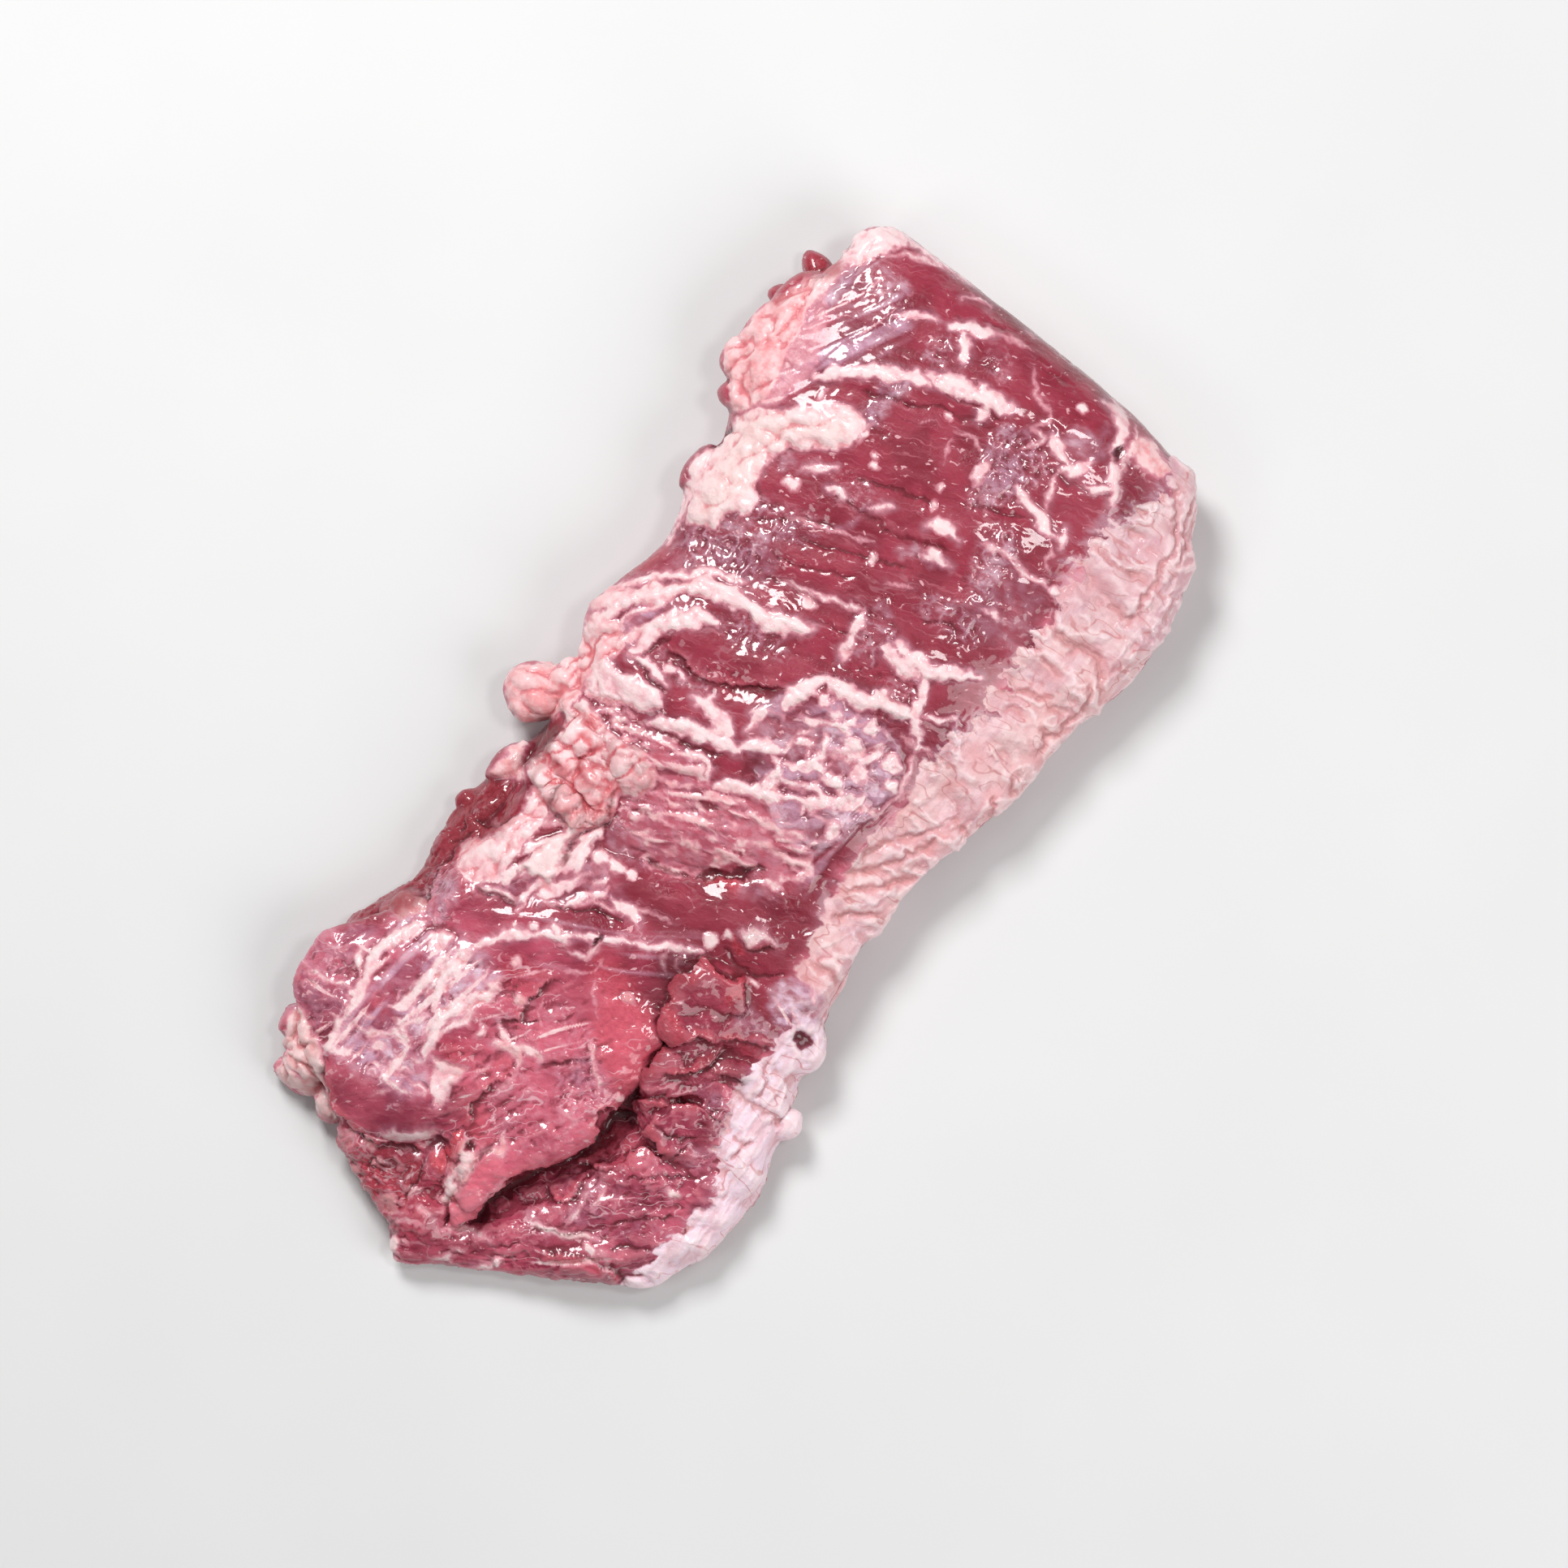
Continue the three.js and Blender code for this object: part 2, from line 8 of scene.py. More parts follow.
import math
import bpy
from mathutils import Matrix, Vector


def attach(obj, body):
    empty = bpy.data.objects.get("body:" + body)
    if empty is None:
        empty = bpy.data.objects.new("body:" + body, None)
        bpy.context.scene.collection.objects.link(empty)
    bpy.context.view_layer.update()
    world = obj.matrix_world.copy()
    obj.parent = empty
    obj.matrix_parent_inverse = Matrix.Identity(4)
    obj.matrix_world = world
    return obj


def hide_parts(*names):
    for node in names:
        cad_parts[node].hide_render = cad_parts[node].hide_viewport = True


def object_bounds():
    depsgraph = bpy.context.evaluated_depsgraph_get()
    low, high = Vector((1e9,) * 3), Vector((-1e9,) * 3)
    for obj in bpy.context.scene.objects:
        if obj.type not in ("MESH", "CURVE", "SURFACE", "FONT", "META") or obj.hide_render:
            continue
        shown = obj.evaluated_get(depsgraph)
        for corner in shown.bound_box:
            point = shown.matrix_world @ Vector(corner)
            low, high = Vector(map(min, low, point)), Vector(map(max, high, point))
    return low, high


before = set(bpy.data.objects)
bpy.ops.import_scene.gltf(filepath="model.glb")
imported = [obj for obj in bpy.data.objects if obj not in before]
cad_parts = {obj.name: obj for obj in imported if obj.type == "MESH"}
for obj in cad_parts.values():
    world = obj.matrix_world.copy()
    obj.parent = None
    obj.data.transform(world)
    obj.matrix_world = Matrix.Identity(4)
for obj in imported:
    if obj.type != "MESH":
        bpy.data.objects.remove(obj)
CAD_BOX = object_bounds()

from types import SimpleNamespace

import bmesh
import bpy
import numpy as np

MM = 0.001

# The camera looks straight down on the steak, turned so that its long side leans to the right.
VIEW_TURN = 35
VIEW_CENTRE = (10.81, 15.10)
VIEW_PLANE = 20.0
VIEW_WIDTH = 483.0
VIEW_HEIGHT = 2400.0
VIEW_END_M = 20


def look_down():
    """The camera, straight above the steak."""
    lens = bpy.data.cameras.new("camera_above")
    lens.sensor_fit = "HORIZONTAL"
    lens.angle = 2 * math.atan(VIEW_WIDTH / 2 / VIEW_HEIGHT)
    lens.clip_end = VIEW_END_M
    camera = bpy.data.objects.new("camera_above", lens)
    camera.location = (VIEW_CENTRE[0] * MM, VIEW_CENTRE[1] * MM, (VIEW_PLANE + VIEW_HEIGHT) * MM)
    camera.rotation_euler = (0, 0, math.radians(VIEW_TURN))
    bpy.context.collection.objects.link(camera)
    bpy.context.scene.camera = camera


look_down()

# ---------------------------------------------------------------- uneven numbers

HASH_SIZE = 256
KIND_STEP = 17.3
SWING = 1.6
ORDER_SEED = 7
shuffle = np.random.default_rng(ORDER_SEED)
ORDER = shuffle.permutation(HASH_SIZE)
SLOPES = shuffle.normal(size=(HASH_SIZE, 3))
SLOPES /= np.linalg.norm(SLOPES, axis=1, keepdims=True)


def unevenness(places, size, kind=0):
    """Smooth random hills, from about -1 to 1, each about size across (one size, or one for each axis).

    kind picks the pattern: the same kind gives the same hills.
    """
    spots = places / np.asarray(size, float) + KIND_STEP * kind
    base = np.floor(spots).astype(int)
    part = spots - base
    fade = part ** 3 * (part * (part * 6 - 15) + 10)
    total = np.zeros(len(places))
    for corner in range(8):
        step = np.array([corner & 1, corner >> 1 & 1, corner >> 2 & 1])
        cell = (base + step) % HASH_SIZE
        pick = ORDER[(ORDER[(ORDER[cell[:, 0]] + cell[:, 1]) % HASH_SIZE] + cell[:, 2]) % HASH_SIZE]
        slope = np.einsum("ij,ij->i", SLOPES[pick], part - step)
        share = np.prod(np.where(step == 1, fade, 1 - fade), axis=1)
        total += share * slope
    return total * SWING


def rough(places, size, kind=0, layers=3):
    """Unevenness with finer unevenness on it."""
    total = 0
    for layer in range(layers):
        total = total + unevenness(places, np.asarray(size, float) / 2 ** layer, kind + layer) / 2 ** layer
    return total


def ridged(places, size, kind=0, layers=2):
    """Sharp crests with round valleys between, from 0 in the valleys to 1 on the crests."""
    return np.clip(1 - 2.2 * np.abs(rough(places, size, kind, layers)), 0, 1)


def billowed(places, size, kind=0, layers=2):
    """Round swellings with sharp furrows between, from 0 in the furrows to 1."""
    return 1 - ridged(places, size, kind, layers)


def ease(values, low, high):
    """0 below low, 1 above high, smooth between."""
    share = np.clip((values - low) / (high - low), 0, 1)
    return share * share * (3 - 2 * share)


def turned(x, y, lean):
    """Places along and across a direction that leans by so many degrees from x."""
    c, s = np.cos(np.radians(lean)), np.sin(np.radians(lean))
    return x * c + y * s, y * c - x * s


# ---------------------------------------------------------------- lines and outlines

def curved(points, closed=False, steps=5):
    """The points joined by a smooth curve."""
    points = np.array(points, float)
    count = len(points)
    if count < 3:
        return points
    spans = count if closed else count - 1
    path = []
    for i in range(spans):
        if closed:
            a, b, c, d = (points[(i + k) % count] for k in (-1, 0, 1, 2))
        else:
            a, b, c, d = (points[min(max(i + k, 0), count - 1)] for k in (-1, 0, 1, 2))
        for t in np.arange(steps) / steps:
            path.append(0.5 * (2 * b + (c - a) * t + (2 * a - 5 * b + 4 * c - d) * t ** 2
                               + (3 * b - a - 3 * c + d) * t ** 3))
    if not closed:
        path.append(points[-1])
    return np.array(path)


def line_distance(x, y, path):
    """How far each place is to the path's left (negative to its right), how far along it, and its length."""
    best = np.full(len(x), 1e9)
    side = np.ones(len(x))
    along = np.zeros(len(x))
    gone = 0.0
    for (ax, ay), (bx, by) in zip(path[:-1], path[1:]):
        dx, dy = bx - ax, by - ay
        length = math.hypot(dx, dy) + 1e-9
        t = np.clip(((x - ax) * dx + (y - ay) * dy) / length ** 2, 0, 1)
        far = np.hypot(x - ax - t * dx, y - ay - t * dy)
        closer = far < best
        best[closer] = far[closer]
        side[closer] = np.where(dx * (y - ay) - dy * (x - ax) < 0, -1, 1)[closer]
        along[closer] = gone + t[closer] * length
        gone += length
    return best * side, along, gone


def inside_distance(x, y, path):
    """How far inside a closed outline each place is. It is negative outside."""
    ring = np.vstack([path, path[:1]])
    far = np.abs(line_distance(x, y, ring)[0])
    within = np.zeros(len(x), bool)
    for (ax, ay), (bx, by) in zip(ring[:-1], ring[1:]):
        if ay != by:
            crosses = (ay > y) != (by > y)
            within ^= crosses & (x < (bx - ax) * (y - ay) / (by - ay) + ax)
    return np.where(within, far, -far)


# ---------------------------------------------------------------- the skin that is carved

VOXEL = 0.68
WELD = 0.001
SMOOTHINGS = 7
UNDERSIDE_HEIGHT = 1.2
UNDERSIDE_FACING = -0.9
UNDERSIDE_SHARE = 0.55
UPWARD_FROM, UPWARD_FULL = -0.35, 0.25
STILL_BELOW, FREE_ABOVE = 0.2, 3.0

# cream and salmon are kinds of fat, film is silvery, band is the pale skin along the side, blood is bright
# torn meat, dark is partly the darker red of some muscle and partly painted shade in creases, pits, gaps,
# furrows, the crevice and below flap edges, wet and dull are kinds of gloss, rosy is the thin end's paler
# meat, under is what faces down, and relief is high on crests and low in hollows; the material paints light
# on the crests and shade in the hollows from it.
MARKS = ("fat", "cream", "salmon", "film", "band", "blood", "dark", "wet", "dull", "rosy", "under", "relief")
MARK_EDGE = 1.6


def with_modifiers(piece):
    """The piece's modifiers become its mesh."""
    made = piece.evaluated_get(bpy.context.evaluated_depsgraph_get())
    piece.data = bpy.data.meshes.new_from_object(made)
    piece.modifiers.clear()


def numbers_of(items, field, width=3):
    """One field of many mesh items, as rows of numbers."""
    flat = np.empty(len(items) * width, np.float32)
    items.foreach_get(field, flat)
    return flat.reshape(-1, width).astype(float)


def fine_skin(node):
    """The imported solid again, with rounded facets and a fine even net of small squares."""
    mesh = node.data.copy()
    mesh.materials.clear()
    net = bmesh.new()
    net.from_mesh(mesh)
    bmesh.ops.remove_doubles(net, verts=net.verts, dist=WELD * MM)
    net.to_mesh(mesh)
    net.free()
    piece = bpy.data.objects.new("steak_surface", mesh)
    bpy.context.collection.objects.link(piece)
    rounding = piece.modifiers.new("rounding", "SUBSURF")
    rounding.levels = rounding.render_levels = 2
    netting = piece.modifiers.new("netting", "REMESH")
    netting.mode = "VOXEL"
    netting.voxel_size = VOXEL * MM
    softening = piece.modifiers.new("softening", "SMOOTH")
    softening.factor = 0.5
    softening.iterations = SMOOTHINGS
    with_modifiers(piece)
    low = numbers_of(piece.data.vertices, "co")[:, 2] < UNDERSIDE_HEIGHT * MM
    down = numbers_of(piece.data.vertex_normals, "vector")[:, 2] < UNDERSIDE_FACING
    flat = piece.vertex_groups.new(name="underside")
    flat.add([int(i) for i in np.flatnonzero(low & down)], 1.0, "REPLACE")
    thinning = piece.modifiers.new("thinning", "DECIMATE")
    thinning.ratio = UNDERSIDE_SHARE
    thinning.vertex_group = "underside"
    with_modifiers(piece)
    piece.vertex_groups.clear()
    piece.data.shade_smooth()
    return piece


class Skin:
    """The surface while it is carved: each point's place, how far it is pushed out, and what covers it."""

    def __init__(self, mesh):
        self.mesh = mesh
        self.place = numbers_of(mesh.vertices, "co") / MM
        self.facing = numbers_of(mesh.vertex_normals, "vector")
        self.edges = np.empty(len(mesh.edges) * 2, np.int32)
        mesh.edges.foreach_get("vertices", self.edges)
        self.edges = self.edges.reshape(-1, 2)
        self.lift = np.zeros(len(self.place))
        self.marks = {name: np.zeros(len(self.place)) for name in MARKS}
        self.calm = np.zeros(len(self.place))
        self.upward = ease(self.facing[:, 2], UPWARD_FROM, UPWARD_FULL)
        wander = [rough(self.place, 8, kind, 2) * 1.3 + rough(self.place, 2.4, kind + 4, 2) * 0.75
                  for kind in (21, 31)]
        self.x = self.place[:, 0] + wander[0]
        self.y = self.place[:, 1] + wander[1]
        self.grain = self.fibre_places()

    def fibre_places(self):
        """Places measured along the meat's fibres, across them and up."""
        turn = ease(self.y, GRAIN_TURN_START, GRAIN_TURN_END)
        along, across = turned(self.x, self.y, UPPER_GRAIN + (LOWER_GRAIN - UPPER_GRAIN) * turn)
        return np.c_[along, across, self.place[:, 2]]

    def near(self, path, reach):
        """The points whose place, seen from above, is within reach of the path's box."""
        low, high = path.min(0) - reach, path.max(0) + reach
        inside = (self.x > low[0]) & (self.x < high[0]) & (self.y > low[1]) & (self.y < high[1])
        return np.flatnonzero(inside & (self.upward > 0))

    def within(self, points, reach):
        """The points in and near a closed outline, and how far inside it each is."""
        path = curved(points, closed=True)
        at = self.near(path, reach)
        return at, inside_distance(self.x[at], self.y[at], path)

    def beside(self, points, reach):
        """The points near a line, how far to its left and along it each is, and how far from its ends."""
        path = curved(points)
        at = self.near(path, reach)
        side, along, length = line_distance(self.x[at], self.y[at], path)
        return at, side, along, np.minimum(along, length - along)

    def around(self, centre, radii, reach):
        """The points near an oval, and how far from its centre each is, as a share of its radii."""
        at = self.near(np.array([centre], float), reach)
        return at, np.hypot((self.x[at] - centre[0]) / radii[0], (self.y[at] - centre[1]) / radii[1])

    def raise_mark(self, mark, at, value):
        """At least this much of a mark, on what faces up."""
        self.marks[mark][at] = np.maximum(self.marks[mark][at], value * self.upward[at])

    def cover(self, mark, at, depth, strength=1.0):
        """Marks the points that are depth inside something's edge. The edge is where the mark is one half."""
        self.raise_mark(mark, at, np.clip(0.5 + depth / (2 * MARK_EDGE), 0, 1) * strength)

    def wash(self, mark, at, depth, strength=1.0, fade=4.0):
        """Marks softly, with no edge."""
        self.raise_mark(mark, at, ease(depth, -fade, fade) * strength)

    def push(self, at, height):
        """Lifts what faces up."""
        self.lift[at] += height * self.upward[at]

    def seam(self, points, width, height, mark="fat"):
        """A cord lying on the meat, which swells and thins along its length and has torn ends."""
        at, side, along, to_end = self.beside(points, width + 5)
        far = np.abs(side)
        swell = 1 + 0.4 * unevenness(np.c_[along, along * 0 + points[0][0], along * 0], 6.5, 3)
        ends = ease(to_end, -2.0, 5.0)
        half = width / 2 * 0.9 * swell * (0.4 + 0.6 * ends)
        half = half + min(0.2 * width, 0.9) * unevenness(self.place[at], 3.6, 6)
        threads = unevenness(np.c_[along, side, along * 0], (9, 1.3, 1), 5) * ease(half, 0.8, 2.0)
        wrinkles = (ridged(self.place[at], 4.2, 7, 1) - 0.4) * ease(half, 1.2, 2.6)
        self.push(at, (0.4 + 0.6 * ends) * height * 0.9 * ease(half - far, -0.5, 0.7 + half * 0.4))
        self.push(at, (0.2 * threads - 0.42 * wrinkles) * ease(half - far, 0, 1.2))
        thick = ease(width, 0.5, 2.6)
        self.cover(mark, at, half - far - 0.5 * (1 - ends), 0.78 + 0.22 * thick)
        self.wash("film", at, half + 0.6 - far, 0.5 * thick, 1.8)

    def patch(self, points, height, mark="fat", strength=1.0, edge=2.0):
        """A pad with an outline, which rises from its edge."""
        at, depth = self.within(points, 4)
        self.push(at, height * ease(depth, -0.6, edge))
        self.cover(mark, at, depth, strength)
        self.wash("film", at, depth + 0.5, 0.45 * strength, 1.8)

    def stain(self, points, mark, strength, fade=4.0):
        """Colour alone, with a soft edge, inside an outline."""
        at, depth = self.within(points, fade + 1)
        if mark == "film":
            lace = rough(self.place[at], (3.6, 2.8, 3), 151, 2)
            strength = strength * (0.35 + 0.65 * ease(lace, -0.35, 0.45))
        self.wash(mark, at, depth, strength, fade)

    def fade_mark(self, mark, points, kept, fade=3.0):
        """Less of a mark inside an outline."""
        at, depth = self.within(points, fade + 1)
        self.marks[mark][at] *= 1 - (1 - kept) * ease(depth, -fade, fade)

    def quieten(self, points, share, fade=4.0):
        """Less of the torn relief inside an outline."""
        at, depth = self.within(points, fade + 1)
        self.calm[at] = np.maximum(self.calm[at], ease(depth, -fade, fade) * share)

    def glitter(self, points, strength, kind):
        """Wrinkled wet film inside an outline: sharp glossy little ridges, with pale film on their tops that
        is partly painted highlight.
        """
        at, depth = self.within(points, 3)
        inside = ease(depth, -1.5, 2.5) * strength
        ridge = ridged(self.place[at], (4.4, 5.2, 4), 141 + kind, 2)
        self.push(at, inside * 0.6 * (ridge - 0.4))
        self.raise_mark("wet", at, inside)
        # Pale film on the ridge tops: silvery film, and partly a painted highlight.
        self.raise_mark("film", at, inside * (0.12 + 0.6 * ease(ridge, 0.6, 0.95)))

    def streak(self, points, width, mark, strength):
        """Colour alone, with a soft edge, along a line."""
        at, side = self.beside(points, width + 1)[:2]
        self.wash(mark, at, width / 2 - np.abs(side), strength, width / 2)

    def crease(self, points, width, depth, dark):
        """A sharp furrow with painted shade in its bottom."""
        at, side, _, to_end = self.beside(points, width * 2)
        ends = ease(to_end, -0.5, 4.0)
        inner = np.clip(1 - np.abs(side) / (width * 0.9), 0, 1)
        self.push(at, -depth * inner ** 1.4 * ends)
        self.raise_mark("dark", at, dark * inner ** 2 * ends)

    def bead(self, centre, radius, height):
        """A round blob of fat. radius is one number, or one for each axis."""
        radii = (radius, radius) if np.isscalar(radius) else radius
        at, share = self.around(centre, radii, max(radii) + 3)
        self.push(at, height * np.sqrt(np.clip(1 - share ** 2, 0, 1)))
        self.cover("fat", at, (1 - share) * min(radii))

    def hole(self, centre, radii, depth, dark=1.0):
        """A pit, darkened inside: partly dark red meat, partly painted shade. It has no fat or pale skin in
        it.
        """
        at, share = self.around(centre, radii, max(radii) * 2)
        inner = ease(share, 1.5, 0.3)
        self.push(at, -depth * inner)
        self.raise_mark("dark", at, dark * inner)
        for mark in ("fat", "band"):
            self.marks[mark][at] *= 1 - inner

    def lobes(self, points, size, height, seed, gap_red_and_shade):
        """A patch made of round lobes pressed together, with reddish gaps that are also darkened as painted
        shade.
        """
        at, depth = self.within(points, 4)
        x, y = self.x[at], self.y[at]
        draw = np.random.default_rng(seed)
        path = curved(points, closed=True)
        low, high = path.min(0), path.max(0)
        count = int(np.prod(high - low) / size ** 2 * 1.3) + 1
        spots = low + draw.random((count, 2)) * (high - low)
        sizes = size * (0.6 + 0.9 * draw.random(count))
        leans = draw.random(count) * 180
        nearest = np.full(len(at), 1e9)
        second = np.full(len(at), 1e9)
        for (sx, sy), wide, lean in zip(spots, sizes, leans):
            along, across = turned(x - sx, y - sy, lean)
            far = np.hypot(along * 0.75, across) / wide
            second = np.where(far < nearest, nearest, np.minimum(second, far))
            nearest = np.minimum(nearest, far)
        gap = ease(second - nearest, 0.2, 0.0) * ease(depth, -1, 1.5)
        inside = ease(depth, -0.8, 2.5)
        self.push(at, height * inside * (np.sqrt(np.clip(1 - nearest ** 2 * 0.9, 0, 1)) - 0.7 * gap))
        self.cover("fat", at, depth)
        self.raise_mark("blood", at, gap * gap_red_and_shade * 0.55)
        # Painted shade in the gaps between the lobes.
        self.raise_mark("dark", at, gap * gap_red_and_shade * 0.3)

    def folds(self, points, size, lean, height, kind, salmon=0.9, red=0.35):
        """Soft wavy lobes pressed side by side, reddish in their furrows. They run at lean degrees."""
        at, depth = self.within(points, 4)
        inside = ease(depth, -0.8, 2.5)
        along, across = turned(self.x[at], self.y[at], lean)
        across = across + 1.6 * unevenness(self.place[at], 9, 171 + kind)
        swell = billowed(np.c_[along, across, self.place[at, 2]], (size[0], size[1], 9), 161 + kind, 1)
        furrow = ease(swell, 0.45, 0.05) * ease(depth, -1, 1.5)
        self.push(at, height * inside * (swell ** 0.7 - 0.2))
        self.cover("fat", at, depth)
        self.raise_mark("salmon", at, inside * np.maximum(furrow * salmon, 0.25 * salmon))
        self.raise_mark("blood", at, ease(furrow, 0.5, 1.0) * red)

    def islands(self, points, size, lean, share, height=0.4, mark="fat", strength=1.0, kind=0, fade=3.0):
        """Scattered scraps of an uneven size, which lean by so many degrees, over a share of an outline."""
        at, depth = self.within(points, 3)
        along, across = turned(self.x[at], self.y[at], lean)
        wave = rough(np.c_[along, across, self.place[at, 2]], (size[0], size[1], 7), 111 + kind, 2)
        over = (wave + 0.62 - 1.2 * (1 - share)) * size[1] * 0.8
        over = np.minimum(over, depth + fade * 0.5)
        self.push(at, height * ease(over, -0.4, 1.4))
        self.cover(mark, at, over, strength)

    def strands(self, points, size, lean, share, height=0.3, mark="film", strength=1.0, kind=0, fade=3.0):
        """Long soft streaks across an outline: size is their length and spacing, lean their angle."""
        at, depth = self.within(points, 3)
        sway = unevenness(self.place[at], 30, 131 + kind) * 3
        along, across = turned(self.place[at, 0], self.place[at, 1], lean)
        wave = rough(np.c_[along, across + sway, along * 0], (size[0], size[1], 1), 121 + kind, 2)
        streak = ease(wave, 0.45 - share, 0.95 - share) * ease(depth, -fade, fade)
        self.push(at, height * streak)
        self.raise_mark(mark, at, streak * strength)

    def flap(self, points, height, reach, red=0.6, dark=0.85):
        """A torn sheet that stands up along its free edge, with painted shadow below that edge. The sheet is
        on the line's left.
        """
        at, side, _, to_end = self.beside(points, reach * 1.6)
        ends = ease(to_end, -1.0, 5.0)
        sheet = np.clip(side, 0, None)
        rise = np.exp(-sheet / reach) * ease(side, -0.35, 0.5)
        fall = np.exp(np.clip(side, None, 0) / 1.8) * (side < 0)
        reached = ease(np.abs(side), reach * 1.6, reach)
        self.push(at, height * ends * reached * (rise - 0.22 * fall))
        # Painted shadow below the free edge.
        self.raise_mark("dark", at, dark * ends * np.exp(np.clip(side, None, 0) / 1.1) * (side < 0.1))
        # Bright red along the free edge: the cut meat's own colour, partly painted light on the edge.
        self.raise_mark("blood", at, red * ends * ease(np.abs(side - 1.0), 1.8, 0.3))

    def average(self, values):
        """Each point's value becomes the mean of its neighbours'."""
        a, b = self.edges.T
        count = len(values)
        total = np.bincount(a, values[b], count) + np.bincount(b, values[a], count)
        return total / np.maximum(np.bincount(a, minlength=count) + np.bincount(b, minlength=count), 1)


# ---------------------------------------------------------------- the run of the meat's fibres

UPPER_GRAIN = 17
LOWER_GRAIN = 38
GRAIN_TURN_START = 5.0
GRAIN_TURN_END = -70.0

# ---------------------------------------------------------------- what the steak shows, read by area

# A plain list is a line or an outline. Where a row starts with numbers, they are a seam's width and height,
# a crease's width, depth and darkness, a flap's height and reach, an edge's width and strength, or the
# strength of a film, a bright or dark area or a glitter. A bead is its centre and radii.

BAND_START = 22
BAND = [
    (53, 168), (54, 158), (52, 150), (50, 143), (47, 139), (48, 134), (46, 130), (46, 120), (45, 113),
    (48, 108), (46, 100), (46, 93), (47, 85), (49, 78), (50, 70), (50, 62), (44, 55), (44, 50), (43, 40),
    (43, 32), (45, 26), (43, 15), (42, 5), (44, -12), (48, -30), (55, -50), (52, -65), (55, -80), (60, -92),
    (66, -100), (64, -115), (62, -128), (62, -142), (95, -142), (95, 168),
]
BAND_CREASES = [
    (1.6, [(57, 161), (62, 152), (67, 144), (68, 135), (71, 128)]),
    (1.4, [(63, 160), (69, 148), (72, 138)]),
    (2.0, [(50, 101), (58, 100.5), (66, 102.5), (70, 101), (74, 95), (77, 92)]),
    (1.2, [(58, 97), (62, 100)]),
    (1.4, [(60, 117), (66, 117), (72, 119)]),
    (1.2, [(48, 129), (55, 128.5), (65, 129)]),
    (1.2, [(68, 132), (69, 124), (72, 118)]),
    (1.6, [(50, 77), (55, 80), (63, 81)]),
    (1.2, [(52, 92), (60, 91.5)]),
    (1.6, [(70, 94), (73, 87), (71, 78), (67, 70)]),
    (1.6, [(65, 76), (69, 71), (69, 66)]),
    (1.6, [(66, 58), (69, 54), (72, 54)]),
    (1.6, [(65, 50), (68, 44), (70, 42)]),
    (1.4, [(61, 35), (68, 35)]),
    (1.4, [(52, 42), (55, 45)]),
    (1.6, [(41, 3), (48, 8), (52, 14), (60, 30)]),
    (1.4, [(43, 10), (49, 20), (57, 30)]),
    (1.4, [(44, -2), (53, 6), (61, 14)]),
    (1.4, [(46, -10), (54, -4), (60, 2)]),
    (1.8, [(48, -25), (56, -25), (62, -27)]),
    (2.0, [(46, -69), (56, -72), (66, -71), (72, -73)]),
    (1.4, [(56, -58), (60, -66), (58, -72)]),
    (1.2, [(58, -82), (64, -83), (68, -80)]),
    (1.2, [(62, -92), (64, -86), (66, -80)]),
]
BAND_GREYS = [
    [(52, 158), (58, 156), (58, 146), (52, 146)],
    [(46, 26), (56, 32), (60, 22), (50, 10), (45, 14)],
    [(50, 88), (60, 90), (64, 82), (54, 80)],
    [(46, -4), (54, -2), (58, -10), (48, -12)],
]
BAND_WHITE = [(50, -42), (72, -38), (84, -70), (90, -100), (84, -145), (56, -145), (54, -100), (50, -66)]
BAND_SALMONS = [
    [(64, 140), (72, 132), (70, 118), (66, 122)],
    [(46, 122), (52, 120), (50, 112), (45, 114)],
    [(43, 33), (48, 30), (47, 22), (43, 24)],
    [(47, -24), (58, -25), (58, -33), (48, -32)],
    [(60, -34), (66, -36), (66, -46), (60, -44)],
    [(50, 122), (64, 128), (64, 122), (52, 116)],
    [(52, 60), (58, 58), (58, 50), (52, 52)],
    [(72, -116), (77, -114), (76, -122), (70, -124)],
]

